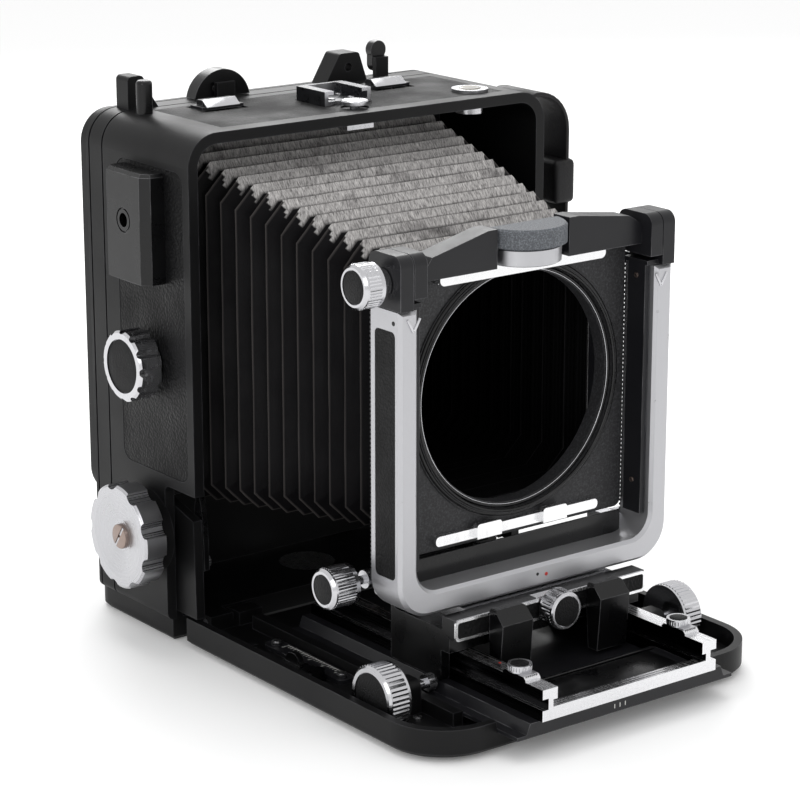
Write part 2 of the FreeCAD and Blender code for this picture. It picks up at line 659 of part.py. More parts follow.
def film_slide(sign):
    """One of the two slide bars, above and below, that hold a roll-film back."""
    z0 = GATE_CENTRE_Z + sign * (GLASS_HALF_Z + 1.0)
    z1 = GATE_CENTRE_Z + sign * (GLASS_HALF_Z + 6.0)
    bar = box(-58, 58, BACK_REAR_Y, BACK_REAR_Y + 3.0, z0, z1)
    tab = box(-52, -40, BACK_REAR_Y + 2.5, BACK_REAR_Y + 6.5, z0 + sign * 0.8, z1 - sign * 0.8)
    tab = round_along(tab, (0, 1, 0), 1.2)
    return fuse([bar, tab])


def back_release():
    """The half-moon thumb tab that frees the revolving back."""
    disc = rod(TAB_X, TAB_Y, HOUSING_TOP_Z - 2.0, 12.5, 6.0, (0, 1, 0))
    disc = disc.common(
        box(TAB_X - 20, TAB_X + 20, TAB_Y - 1, TAB_Y + 8, HOUSING_TOP_Z + 0.3, HOUSING_TOP_Z + 20),
    )
    hub = box(TAB_X - 6, TAB_X + 6, TAB_Y + 1.6, TAB_Y + 7.6, HOUSING_TOP_Z + 0.6, HOUSING_TOP_Z + 6.6)
    r, z = TAB_PIN_R + RUNNING, HOUSING_TOP_Z + 3.6
    ends = [rod(TAB_X + s * TAB_TRAVEL, TAB_Y - 2, z, r, 12, (0, 1, 0)) for s in SIDES]
    slot = box(TAB_X - TAB_TRAVEL, TAB_X + TAB_TRAVEL, TAB_Y - 2, TAB_Y + 10, z - r, z + r)
    return cut(fuse([disc, hub]), ends + [slot])


def back_bracket():
    """Fittings along the top of the rear frame: tab pivot, hood bracket and lever pivot."""
    z = HOUSING_TOP_Z
    bracket = prism_y(
        [(BRACKET_X - 10, z), (BRACKET_X + 10, z), (BRACKET_X + 6, z + 11.5), (BRACKET_X - 3, z + 11.5)],
        13, 22,
    )
    bracket = round_along(bracket, (0, 1, 0), 1.8, lambda c: c.z > z + 5)
    bracket = cut(bracket, [rod(BRACKET_X + 1, 12, z + 6, 1.6, 12, (0, 1, 0))])
    pivot = rod(TAB_X, TAB_Y - 1.6, z + 3.6, TAB_PIN_R, 8.6, (0, 1, 0))
    pivot_foot = box(TAB_X - 4, TAB_X + 4, TAB_Y - 2.6, TAB_Y - 0.5, z, z + 6)
    stalk = box(LEVER_X - 3, LEVER_X + 3, 15.2, 17.4, z, z + 8)
    stalk_pin = rod(LEVER_X, 15.2, z + 5, LEVER_PIN_R, 6.6, (0, 1, 0))
    guard = prism_y([(-69, z), (-56, z), (-60, z + 6), (-62.5, z + 12), (-69, z + 12)], 12.6, 20.4)
    guard = round_along(guard, (0, 1, 0), 1.8, lambda c: c.z > z + 3)
    return Part.makeCompound([bracket, fuse([pivot_foot, pivot]), fuse([stalk, stalk_pin]), guard])


def back_lever():
    """A small round-ended lever on the top of the rear frame."""
    z = HOUSING_TOP_Z
    arm = box(LEVER_X - 3, LEVER_X + 3, 17.7, 21.2, z + 5, z + 10.5)
    head = rod(LEVER_X, 17.7, z + 10.5, 3.6, 3.5, (0, 1, 0))
    hub = rod(LEVER_X, 17.7, z + 5, 3.0, 3.5, (0, 1, 0))
    return cut(fuse([arm, head, hub]), [rod(LEVER_X, 10, z + 5, LEVER_PIN_R + RUNNING, 20, (0, 1, 0))])


def post_button():
    """A glossy round-topped push button at the rear left corner of the roof."""
    z = HOUSING_TOP_Z
    post = rod(POST_X, POST_Y, z - 3.5, POST_R, 15.6, (0, 0, 1))
    return post.makeFillet(1.4, [e for e in post.Edges if e.CenterOfMass.z > z + 12])


# Bed --------------------------------------------------------------------------------------------


def bed_tray():
    """The drop bed: a shallow tray with a raised rim, open at the front for the track."""
    w = BED_HALF_WIDTH
    tray = box(-w, w, BED_FRONT_Y, BED_REAR_Y, BED_BOTTOM_Z, BED_RIM_Z)
    tray = round_along(tray, (0, 0, 1), BED_CORNER_R, lambda c: c.y < -100)
    tray = bevel_end(tray, (0, 0, 1), BED_BOTTOM_Z, 1.2)
    well = box(-w + BED_RIM, w - BED_RIM, BED_FRONT_Y + BED_RIM, BED_REAR_Y + 5, BED_FLOOR_Z, BED_RIM_Z + 5)
    well = round_along(well, (0, 0, 1), BED_CORNER_R - BED_RIM, lambda c: c.y < -100)
    track_gap = box(
        -TRACK_HALF_WIDTH - GAP, TRACK_HALF_WIDTH + GAP, BED_FRONT_Y - 1, BED_FRONT_Y + 30,
        TRACK_BOTTOM_Z - GAP, BED_RIM_Z + 5,
    )
    tools = [well, track_gap]
    for side in SIDES:
        x0, x1 = FOCUS_KNOB_X - 0.8, FOCUS_KNOB_X + FOCUS_KNOB_WIDTH + 0.8
        r = FOCUS_KNOB_R + 0.8
        tools.append(
            sided(side, x0, x1, FOCUS_SHAFT_Y - r, FOCUS_SHAFT_Y + r, BED_BOTTOM_Z - 1, BED_FLOOR_Z + 1),
        )
        tools.append(sided(side, 55.5, 66.5, BED_REAR_Y - 2.4, BED_REAR_Y + 1, BED_BOTTOM_Z - 1, BED_RIM_Z))
    tray = cut(tray, tools)
    blocks = [box(-30, 30, -176, -60, BED_FLOOR_Z - EMBED, TRACK_BOTTOM_Z - 0.1)]
    for side in SIDES:
        blocks.append(sided(side, TRACK_HALF_WIDTH + GAP, 53.5, -160, -40, BED_FLOOR_Z - EMBED, 9.6))
        carrier = sided(
            side, 54.0, 59.0, FOCUS_SHAFT_Y - 5, FOCUS_SHAFT_Y + 5, BED_FLOOR_Z - EMBED, FOCUS_SHAFT_Z + 4,
        )
        blocks.append(round_along(carrier, (1, 0, 0), 3.0, lambda c: c.z > FOCUS_SHAFT_Z))
        blocks.append(side_rod(side, 45.0, 55.5, BED_HINGE_Y, BED_HINGE_Z, BED_LUG_R))
        blocks.append(
            sided(
                side, 45.0, 55.5, BED_REAR_Y - 3, BED_HINGE_Y, BED_HINGE_Z - BED_LUG_R,
                BED_HINGE_Z + BED_LUG_R,
            ),
        )
        for y in (-56, -116):
            blocks.append(sided(side, 63, 73.8, y - 1.0, y + 1.0, BED_FLOOR_Z - EMBED, BED_FLOOR_Z + 1.2))
    whole = fuse([tray] + blocks)
    bores = [rod(-60, FOCUS_SHAFT_Y, FOCUS_SHAFT_Z, FOCUS_SHAFT_R + RUNNING, 120, (1, 0, 0))]
    bores += [side_rod(side, 43, 67, BED_HINGE_Y, BED_HINGE_Z, BED_PIN_R + RUNNING) for side in SIDES]
    return cut(whole, bores)


def bed_feet():
    """Two round feet under the front of the bed, level with the base."""
    return Part.makeCompound([rod(side * 50, -155, 0, 6, BED_BOTTOM_Z, (0, 0, 1)) for side in SIDES])


def bed_struts():
    """Curved links beside the side cheeks that hold the bed out."""
    links = []
    for side in SIDES:
        outline = [
            (STRUT_Y - 3.4, STRUT_Z - 3), (STRUT_Y + 3.6, STRUT_Z - 3), (STRUT_Y + 3.8, 46),
            (STRUT_Y + 1.5, 60), (STRUT_Y - 0.4, 61.5), (STRUT_Y - 2.6, 50),
        ]
        link = prism_x(outline, side * 70.2, side * 72.4)
        link = round_along(link, (1, 0, 0), 0.9)
        bore = side_rod(side, 69, 73, STRUT_Y, STRUT_Z, RIVET_R + RUNNING)
        links.append(cut(link, [bore]))
    return Part.makeCompound(links)


def strut_rivets():
    """The rivets that the struts swing on, fast in the side cheeks."""
    rivets = []
    for side in SIDES:
        stem = side_rod(side, 69.6, 73.0, STRUT_Y, STRUT_Z, RIVET_R)
        head = side_rod(side, 68.9, 69.9, STRUT_Y, STRUT_Z, 2.6)
        rivets.append(fuse([stem, head]))
    return Part.makeCompound(rivets)


def focus_scale():
    """The engraved distance plate beside the track."""
    plate = box(-61.5, -54.3, -106, -58, BED_FLOOR_Z, BED_FLOOR_Z + 1.6)
    plate = round_along(plate, (0, 0, 1), 2.5)
    heads = [rod(-57.9, y, BED_FLOOR_Z + 1.2, 2.0, 1.2, (0, 0, 1)) for y in (-102, -62)]
    return fuse([plate] + heads)


def focus_lock():
    """The wing lever that locks the track."""
    hub = rod(LOCK_X, LOCK_Y, BED_FLOOR_Z + GAP, 4.2, 3.6, (0, 0, 1))
    arm = box(LOCK_X - 3, LOCK_X + 3, LOCK_Y, LOCK_Y + 16, BED_FLOOR_Z + 1.2, BED_FLOOR_Z + 3.4)
    wing = rod(LOCK_X - 1.2, LOCK_Y + 11, BED_FLOOR_Z + 2.8, 4.6, 2.4, (1, 0, 0))
    wing = wing.common(box(LOCK_X - 5, LOCK_X + 5, LOCK_Y, LOCK_Y + 20, BED_FLOOR_Z + 2.8, BED_FLOOR_Z + 10))
    return fuse([hub, arm, wing])


def focus_knobs():
    """The two focusing knobs, each on its shaft with the pinion that drives the track's rack."""
    knobs = []
    for side in SIDES:
        x0, x1 = FOCUS_KNOB_X, FOCUS_KNOB_X + FOCUS_KNOB_WIDTH
        rim = side_rod(side, x0, x1, FOCUS_SHAFT_Y, FOCUS_SHAFT_Z, FOCUS_KNOB_R)
        rim = bevel_end(rim, (1, 0, 0), side * x1, 0.8)
        rim = cut(rim, [side_rod(side, x1 - 0.8, x1 + 1, FOCUS_SHAFT_Y, FOCUS_SHAFT_Z, FOCUS_KNOB_R - 2.2)])
        shaft = side_rod(side, RACK_INNER_X + 0.5, x0 + 1, FOCUS_SHAFT_Y, FOCUS_SHAFT_Z, FOCUS_SHAFT_R)
        pinion = side_rod(
            side, RACK_INNER_X + 0.5, TRACK_HALF_WIDTH - 0.3, FOCUS_SHAFT_Y, FOCUS_SHAFT_Z, PINION_R,
        )
        knobs.append(fuse([rim, shaft, pinion]))
    return Part.makeCompound(knobs)


# Track ------------------------------------------------------------------------------------------


def track_base():
    """The black bed of the track, with a low flange along each side that carries the rack."""
    w, inner, top = TRACK_HALF_WIDTH, RACK_INNER_X, RACK_TOP_Z
    profile = [
        (-w, TRACK_BOTTOM_Z), (w, TRACK_BOTTOM_Z), (w, top), (inner, top), (inner - 1.5, TRACK_TOP_Z),
        (-inner + 1.5, TRACK_TOP_Z), (-inner, top), (-w, top),
    ]
    return prism_y(profile, TRACK_FRONT_Y + 1.5, TRACK_FRONT_Y + TRACK_LENGTH)


def track_rails():
    """Two silver rails with a slot along the outside of each, and the lip across the front."""
    parts = []
    y0, y1 = TRACK_FRONT_Y, TRACK_FRONT_Y + TRACK_LENGTH
    for side in SIDES:
        rail = sided(side, RAIL_INNER_X, RAIL_OUTER_X, y0, y1, TRACK_TOP_Z, RAIL_TOP_Z)
        slot = sided(side, RAIL_OUTER_X - 2.6, RAIL_OUTER_X + 1, y0 - 1, y1 + 1, 16.6, 20.6)
        groove = sided(side, RAIL_INNER_X - 1, RAIL_INNER_X + 1.8, y0 - 1, y1 + 1, 17.2, 19.8)
        parts.append(cut(rail, [slot, groove]))
    parts.append(box(-RAIL_INNER_X - 1, RAIL_INNER_X + 1, y0, y0 + 4.0, TRACK_TOP_Z, 17.2))
    return fuse(parts)


def front_plate():
    """The plain plate that fills the front of the track, between the rails."""
    return box(
        -RAIL_INNER_X + 0.1, RAIL_INNER_X - 0.1, TRACK_FRONT_Y + 4.1, TRACK_FRONT_Y + 24, TRACK_TOP_Z,
        15.6,
    )


def infinity_stops():
    """The two stop blocks screwed on the rails."""
    blocks = []
    for side in SIDES:
        foot = sided(side, RAIL_INNER_X, RAIL_OUTER_X, STOP_Y - 7, STOP_Y + 5, RAIL_TOP_Z, RAIL_TOP_Z + 1.6)
        foot = bevel_along(foot, (1, 0, 0), 1.0, lambda c: c.z > RAIL_TOP_Z + 1)
        blocks.append(
            cut(foot, [rod(side * STOP_X, STOP_Y, RAIL_TOP_Z - 1, STOP_SCREW_R + RUNNING, 6, (0, 0, 1))]),
        )
    return Part.makeCompound(blocks)


def stop_screw(side):
    """The thumbscrew of a stop, with a hollow top for its leather disc."""
    head = rod(side * STOP_X, STOP_Y, RAIL_TOP_Z + 1.8, 4.2, 2.4, (0, 0, 1))
    head = cut(head, [rod(side * STOP_X, STOP_Y, RAIL_TOP_Z + 3.8, 3.3, 2, (0, 0, 1))])
    stem = rod(side * STOP_X, STOP_Y, RAIL_TOP_Z + 0.1, STOP_SCREW_R, 2.2, (0, 0, 1))
    return fuse([head, stem])


# Front standard ---------------------------------------------------------------------------------


def carriage():
    """The saddle that slides along the rails, with the channel for the cross slide in its top."""
    w = SHIFT_HALF_WIDTH
    plate = box(-w, w, SHIFT_FRONT_Y + 0.8, SHIFT_REAR_Y, RAIL_TOP_Z + GAP, SHIFT_TOP_Z)
    plate = cut(plate, [box(-w - 1, w + 1, SHIFT_FRONT_Y - 1, SHIFT_FRONT_Y + 3.5, 20, SHIFT_BOTTOM_Z)])
    parts = [plate]
    for side in SIDES:
        inner = RAIL_INNER_X - GAP
        parts.append(sided(side, inner - 2.5, inner, SHIFT_FRONT_Y + 8, SHIFT_REAR_Y, 19, RAIL_TOP_Z + 1))
        parts.append(
            sided(
                side, RAIL_OUTER_X + GAP, w, SHIFT_FRONT_Y + 8, SHIFT_REAR_Y, TRACK_TOP_Z + 0.5,
                RAIL_TOP_Z + 1,
            ),
        )
    channel = box(-w - 1, w + 1, SLIDE_FRONT_Y - 0.2, SLIDE_REAR_Y + 0.2, SLIDE_BOTTOM_Z, SHIFT_TOP_Z + 1)
    bore = rod(0, SHIFT_FRONT_Y - 1, CENTRE_KNOB_Z, CENTRE_STEM_R + RUNNING, 8, (0, 1, 0))
    return cut(fuse(parts), [channel, bore])


def shift_slide():
    """The cross slide in the carriage's channel, bored for the standard's swing pin."""
    x = SHIFT_HALF_WIDTH - SHIFT_TRAVEL
    slide = box(-x, x, SLIDE_FRONT_Y, SLIDE_REAR_Y, SLIDE_BOTTOM_Z, SHIFT_TOP_Z + 0.1)
    return cut(slide, [rod(0, STANDARD_Y, SLIDE_BOTTOM_Z - 1, SWING_PIN_R + RUNNING, 12, (0, 0, 1))])


def shift_trim():
    """The silver frame round the leather on the front of the cross slide, and the index plate."""
    y0 = SHIFT_FRONT_Y
    frame = box(-SHIFT_HALF_WIDTH, SHIFT_HALF_WIDTH, y0, y0 + 0.8, SHIFT_BOTTOM_Z, SHIFT_TOP_Z)
    frame = round_along(frame, (0, 1, 0), 1.5)
    window = box(
        -SHIFT_HALF_WIDTH + 1, SHIFT_HALF_WIDTH - 1, y0 - 1, y0 + 2, SHIFT_BOTTOM_Z + 1, SHIFT_TOP_Z - 1,
    )
    ring = cut(frame, [round_along(window, (0, 1, 0), 1.0)])
    index = box(-7, 7, y0 + 0.9, y0 + 4.5, SHIFT_TOP_Z, SHIFT_TOP_Z + 0.4)
    return Part.makeCompound([ring, index])


def shift_leather():
    y0 = SHIFT_FRONT_Y
    sheet = box(
        -SHIFT_HALF_WIDTH + 1.1, SHIFT_HALF_WIDTH - 1.1, y0 + 0.2, y0 + 0.8, SHIFT_BOTTOM_Z + 1.1,
        SHIFT_TOP_Z - 1.1,
    )
    sheet = round_along(sheet, (0, 1, 0), 1.2)
    return cut(sheet, [rod(0, y0 - 1, CENTRE_KNOB_Z, CENTRE_STEM_R + GAP, 8, (0, 1, 0))])


def clamp_wedge(side):
    """A wedge-shaped thumb lever hanging in front of the cross slide."""
    y0, z0, z1 = SHIFT_FRONT_Y - 0.3, 14.5, 38.5
    outline = [(y0, z1), (y0 - 3.0, z1), (y0 - 7.5, z1 - 4.5), (y0 - 6.0, z0), (y0 - 1.2, z0), (y0, z0 + 14)]
    wedge = prism_x(outline, side * 15.5, side * 29.0)
    return round_along(wedge, (0, 1, 0), 1.2, lambda c: c.z > z1 - 1)


def centre_knob():
    """The round knob in the middle of the cross slide that locks the swing."""
    y = SHIFT_FRONT_Y
    head = rod(0, y - 0.5, CENTRE_KNOB_Z, 6.8, 7.0, (0, -1, 0))
    head = bevel_end(head, (0, 1, 0), y - 7.5, 0.5)
    head = cut(head, [rod(0, y - 6.9, CENTRE_KNOB_Z, 5.6, 3, (0, -1, 0))])
    stem = rod(0, y + 4.0, CENTRE_KNOB_Z, CENTRE_STEM_R, 5.0, (0, -1, 0))
    return fuse([head, stem])


def standard_frame():
    """The silver U frame, with a pivot pin under its sill and bearings for the rise shaft."""
    w = FRAME_HALF_WIDTH
    outer = box(-w, w, FRAME_FRONT_Y, FRAME_REAR_Y, FRAME_BOTTOM_Z, FRAME_TOP_Z)
    outer = round_along(outer, (0, 1, 0), FRAME_CORNER_R, lambda c: c.z < 60)
    inner = box(
        -w + LEG_WIDTH, w - LEG_WIDTH, FRAME_FRONT_Y - 1, FRAME_REAR_Y + 1, FRAME_BOTTOM_Z + FRAME_SILL,
        FRAME_TOP_Z + 10,
    )
    inner = round_along(inner, (0, 1, 0), 9.0, lambda c: c.z < 60)
    frame = cut(outer, [inner])
    frame = bevel_end(frame, (0, 1, 0), FRAME_FRONT_Y, 1.2)
    tools = []
    for side in SIDES:
        tools.append(leg_field(side, 0.0))
    frame = cut(frame, tools)
    extras = [box(-32, 32, FRAME_REAR_Y - EMBED, SHIFT_REAR_Y - 2, SHIFT_TOP_Z + 0.6, 41.0)]
    extras.append(rod(0, STANDARD_Y, SLIDE_BOTTOM_Z + 0.4, SWING_PIN_R, 8.0, (0, 0, 1)))
    for side in SIDES:
        bearing = sided(
            side, 46, 52, FRAME_REAR_Y - 1.5, RISE_SHAFT_Y + 4, FRAME_BOTTOM_Z + 1.5, RISE_SHAFT_Z + 4,
        )
        extras.append(round_along(bearing, (1, 0, 0), 1.5, lambda c: c.y > FRAME_REAR_Y))
        extras.append(sided(side, 40, 47, FRAME_REAR_Y - 1.5, RISE_SHAFT_Y + 4, FRAME_BOTTOM_Z + 1.5, 41.0))
    whole = fuse([frame] + extras)
    return cut(whole, [rod(-60, RISE_SHAFT_Y, RISE_SHAFT_Z, RISE_SHAFT_R + RUNNING, 120, (1, 0, 0))])


def leg_field(side, margin):
    """The long field in the outer face of a leg."""
    w = FRAME_HALF_WIDTH
    field = sided(
        side, w - 0.5, w + 1, FRAME_FRONT_Y + 2.6 + margin, FRAME_REAR_Y - 2.2 - margin, 52 + margin,
        139 - margin,
    )
    return round_along(field, (1, 0, 0), 2.0)


def leg_leathers():
    """Leather strips let into the outer faces of the legs."""
    w = FRAME_HALF_WIDTH
    strips = [cut(leg_field(side, 0.1), [sided(side, w - 0.1, w + 2, -150, -110, 40, 150)]) for side in SIDES]
    return Part.makeCompound(strips)


def rise_shaft():
    """The rise pinions on their shaft, with the knob at the left."""
    shaft = rod(-76, RISE_SHAFT_Y, RISE_SHAFT_Z, RISE_SHAFT_R, 136.0, (1, 0, 0))
    pinions = [side_rod(side, 54.5, 59.5, RISE_SHAFT_Y, RISE_SHAFT_Z, PINION_R) for side in SIDES]
    knob = rod(-77, RISE_SHAFT_Y, RISE_SHAFT_Z, 7.2, 11.0, (1, 0, 0))
    knob = bevel_end(knob, (1, 0, 0), -77, 0.9)
    knob = cut(knob, [rod(-78, RISE_SHAFT_Y, RISE_SHAFT_Z, 5.4, 1.7, (1, 0, 0))])
    return fuse([shaft, knob] + pinions)


def riser():
    """The sliding part of the standard: outer clamp plates, guide rails and racks."""
    parts = []
    for side in SIDES:
        clamp = sided(
            side, 55.5, 61.0, FRAME_FRONT_Y - 0.5, FRAME_REAR_Y + 1.0, FRAME_TOP_Z + GAP, TILT_AXIS_Z + 10,
        )
        clamp = round_along(clamp, (1, 0, 0), 4.0, lambda c: c.z > TILT_AXIS_Z)
        foot = sided(side, 50.4, 61.0, -138, -126, FRAME_TOP_Z + GAP, FRAME_TOP_Z + 1.9)
        rail = sided(side, 50.4, 52.6, -137, -128, 54, FRAME_TOP_Z + 1)
        rack = sided(
            side, 54.8, 59.2, FRAME_REAR_Y + GAP, RACK_REAR_Y, FRAME_BOTTOM_Z + 11, FRAME_TOP_Z + 1.9,
        )
        rack = cut(rack, rack_teeth(side))
        parts.append(
            fuse(
                [
                    clamp, foot, rail, rack,
                    sided(side, 54.8, 59.2, -130, RACK_REAR_Y, FRAME_TOP_Z + GAP, FRAME_TOP_Z + 1.9),
                ],
            ),
        )
    whole = [cut(p, [rod(-62, STANDARD_Y, TILT_AXIS_Z, TILT_PIN_R + RUNNING, 124, (1, 0, 0))]) for p in parts]
    return Part.makeCompound(whole)


def rack_teeth(side):
    """Notches down the rear edge of a rack, one tooth pitch apart."""
    notches = []
    count = int((FRAME_TOP_Z - FRAME_BOTTOM_Z - 14) / RACK_PITCH)
    for i in range(count):
        z = FRAME_BOTTOM_Z + 12.5 + i * RACK_PITCH
        notches.append(sided(side, 54.0, 60.0, RACK_REAR_Y - 0.7, RACK_REAR_Y + 1, z, z + RACK_PITCH / 2))
    return notches


def tilt_knob():
    """The left clamp knob on the tilt axis, with its pin through both clamp plates."""
    pin = rod(-71, STANDARD_Y, TILT_AXIS_Z, TILT_PIN_R, 20.6, (1, 0, 0))
    head = rod(-73.5, STANDARD_Y, TILT_AXIS_Z, 7.6, 8.0, (1, 0, 0))
    head = bevel_end(head, (1, 0, 0), -73.5, 0.9)
    head = cut(head, [rod(-74.5, STANDARD_Y, TILT_AXIS_Z, 5.9, 1.7, (1, 0, 0))])
    collar = rod(-66, STANDARD_Y, TILT_AXIS_Z, 5.0, 4.7, (1, 0, 0))
    return fuse([pin, head, collar])


def tilt_lever():
    """The small lever on the right end of the tilt axis."""
    pin = rod(50.4, STANDARD_Y, TILT_AXIS_Z, TILT_PIN_R, 13.6, (1, 0, 0))
    arm = prism_x(
        [
            (-134, TILT_AXIS_Z + 3), (-128, TILT_AXIS_Z + 3), (-127.5, TILT_AXIS_Z - 12),
            (-133, TILT_AXIS_Z - 12),
        ],
        61.3, 64.5,
    )
    hub = rod(61.3, STANDARD_Y, TILT_AXIS_Z, 4.6, 3.2, (1, 0, 0))
    return fuse([pin, arm, hub])


# Lens frame -------------------------------------------------------------------------------------


def lens_panel():
    """The black panel with the round lens opening and its stepped ring."""
    w = LENS_PANEL_HALF
    y0 = LENS_PANEL_FRONT_Y
    panel = box(-w, w, y0, y0 + LENS_PANEL_DEPTH, LENS_PANEL_BOTTOM_Z, LENS_PANEL_TOP_Z)
    panel = round_along(panel, (0, 1, 0), 3.0, lambda c: c.z < 100)
    ring = rod(0, y0 - 1.6, LENS_CENTRE_Z, LENS_OPENING_R + 3.6, 3.0, (0, 1, 0))
    step = rod(0, y0 - 0.6, LENS_CENTRE_Z, LENS_OPENING_R + 5.2, 2.0, (0, 1, 0))
    whole = fuse([panel, ring, step])
    recess = rod(0, y0 - 3, LENS_CENTRE_Z, LENS_OPENING_R + 2.2, 3.4, (0, 1, 0))
    opening = rod(0, y0 - 5, LENS_CENTRE_Z, LENS_OPENING_R, 20, (0, 1, 0))
    return cut(whole, [recess, opening])


def lens_bridge():
    """The bridge over the panel, sloping down to the inner clamp plate at each end."""
    y0, y1 = -135.5, LENS_PANEL_FRONT_Y
    outline = [
        (-LENS_PANEL_HALF, 154.0), (-16, 154.0), (-16, 160.5), (16, 160.5), (16, 154.0),
        (LENS_PANEL_HALF, 154.0), (LENS_PANEL_HALF, 161.0), (44, 164.6), (20, 167.7), (-20, 167.7),
        (-44, 161.8),
    ]
    bridge = prism_y(outline, y0, y1)
    bridge = cut(bridge, [box(-16, 16, y0 - 1, y1 + 1, 160.5, 170)])
    plates = []
    for side in SIDES:
        plate = sided(
            side, LENS_PANEL_HALF, 55.2, FRAME_FRONT_Y - 0.5, FRAME_REAR_Y + 1, FRAME_TOP_Z + 4.0,
            TILT_AXIS_Z + 10,
        )
        plates.append(round_along(plate, (1, 0, 0), 4.0, lambda c: c.z > TILT_AXIS_Z))
    saddle = box(-16.5, 16.5, y1 - 2.0, y1, 155.0, 162.0)
    whole = fuse([bridge, saddle] + plates)
    return cut(
        whole, [side_rod(side, 50.0, 60, STANDARD_Y, TILT_AXIS_Z, TILT_PIN_R + RUNNING) for side in SIDES],
    )


def retaining_bars():
    """The two silver bars, above and below the opening, that hold a lens board."""
    y1 = LENS_PANEL_FRONT_Y
    top = box(-37, 37, y1 - 4.0, y1 - 1.9, 149.9, 154.0)
    top = round_along(top, (0, 1, 0), 2.0)
    feet = [sided(side, 34.6, 36.6, y1 - 2.4, y1, 150.4, 153.4) for side in SIDES]
    low = box(-37, 37, y1 - 2.2, y1, 57.0, 60.6)
    low = round_along(low, (0, 1, 0), 1.6)
    tabs = [box(side * 15 - 5.5, side * 15 + 5.5, y1 - 4.6, y1 - 2.2, 57.2, 62.6) for side in SIDES]
    tabs = [round_along(t, (0, 1, 0), 1.2, lambda c: c.z > 60) for t in tabs]
    return Part.makeCompound([fuse([top] + feet), fuse([low] + tabs)])


def bellows_front_frame():
    """The square frame behind the lens panel that the bellows are glued to."""
    w = BELLOWS_FRONT_HALF + 0.6
    y0 = LENS_PANEL_FRONT_Y + LENS_PANEL_DEPTH
    outer = box(-w, w, y0, BELLOWS_FRONT_Y - 0.2, LENS_CENTRE_Z - w, LENS_CENTRE_Z + w)
    inner = box(-w + 6, w - 6, y0 - 1, BELLOWS_FRONT_Y + 1, LENS_CENTRE_Z - w + 6, LENS_CENTRE_Z + w - 6)
    return cut(outer, [inner])


def lens_lock():
    """The half-moon slider in the middle of the bridge that frees the lens board."""
    y1 = LENS_PANEL_FRONT_Y - 2.3
    disc = rod(0, y1, 160.8, 15.6, 6.6, (0, 0, 1))
    disc = disc.common(box(-20, 20, y1 - 20, y1, 150, 175))
    disc = bevel_end(disc, (0, 0, 1), 167.4, 0.7)
    front = rod(0, y1, 154.2, 13.2, 7.0, (0, 0, 1))
    front = front.common(box(-14, 14, y1 - 14, y1, 150, 175))
    return fuse([disc, front])


# Bellows ----------------------------------------------------------------------------------------


def bellows_section(y0, y1, thickness):
    """A plain tapering tube with the outer shape of the folded bellows."""
    walls = []
    for inset in (0.0, thickness):
        loops = []
        for y in (y0, y1):
            share = (y - BELLOWS_REAR_Y) / (BELLOWS_FRONT_Y - BELLOWS_REAR_Y)
            half = BELLOWS_REAR_HALF + share * (BELLOWS_FRONT_HALF - BELLOWS_REAR_HALF)
            centre = GATE_CENTRE_Z + share * (LENS_CENTRE_Z - GATE_CENTRE_Z)
            loops.append(square_loop(half - inset, centre, y, 9.0))
        walls.append(Part.makeLoft(loops, True, True))
    return cut(walls[0], [walls[1]])


def nodes():
    """Every sub-part by the name of its node."""
    made = {
        "base_plate": base_plate(),
        "tripod_bush": tripod_bush(),
        "base_pins": Part.makeCompound([hinge_pins(), strut_rivets()]),
        "housing_shell": housing_shell(),
        "side_leathers": side_leathers(),
        "rear_frame": Part.makeCompound([rear_frame(), back_bracket()]),
        "top_leather": top_leather(),
        "accessory_shoe": accessory_shoe(),
        "spirit_level": spirit_level(),
        "level_glass": level_glass(),
        "side_mount": side_mount(),
        "strap_lugs": strap_lugs(),
        "handle_strap": handle_strap(),
        "bellows_rear_frame": bellows_rear_frame(),
        "top_latch_left": top_latch(LATCH_LEFT_X),
        "top_latch_right": top_latch(LATCH_RIGHT_X),
        "roof_catch": roof_catch(),
        "low_knob_left": low_knob(-1),
        "low_knob_right": low_knob(1),
        "mid_knob": mid_knob(),
        "revolving_back": revolving_back(),
        "glass_back_frame": glass_back_frame(),
        "ground_glass": ground_glass(),
        "film_slide_top": film_slide(1),
        "film_slide_bottom": film_slide(-1),
        "back_release": back_release(),
        "back_lever": back_lever(),
        "post_button": post_button(),
        "bed_tray": bed_tray(),
        "bed_feet": bed_feet(),
        "bed_struts": bed_struts(),
        "focus_scale": focus_scale(),
        "focus_lock": focus_lock(),
        "focus_knobs": focus_knobs(),
        "track_base": track_base(),
        "track_rails": Part.makeCompound([track_rails(), infinity_stops()]),
        "front_plate": front_plate(),
        "stop_screw_left": stop_screw(-1),
        "stop_screw_right": stop_screw(1),
        "carriage": carriage(),
        "shift_slide": shift_slide(),
        "shift_trim": shift_trim(),
        "shift_leather": shift_leather(),
        "clamp_wedge_left": clamp_wedge(-1),
        "clamp_wedge_right": clamp_wedge(1),
        "centre_knob": centre_knob(),
        "standard_frame": standard_frame(),
        "leg_leathers": leg_leathers(),
        "rise_shaft": rise_shaft(),
        "riser": riser(),
        "tilt_knob": tilt_knob(),
        "tilt_lever": tilt_lever(),
        "lens_panel": lens_panel(),
        "lens_bridge": lens_bridge(),
        "retaining_bars": retaining_bars(),
        "bellows_front_frame": bellows_front_frame(),
        "lens_lock": lens_lock(),
        "bellows_rear": bellows_section(BELLOWS_REAR_Y, BELLOWS_CUT_1_Y, BELLOWS_WALL),
        "bellows_middle": bellows_section(BELLOWS_CUT_1_Y, BELLOWS_CUT_2_Y, BELLOWS_WALL),
        "bellows_front": bellows_section(BELLOWS_CUT_2_Y, BELLOWS_FRONT_Y, BELLOWS_WALL),
    }
    return made


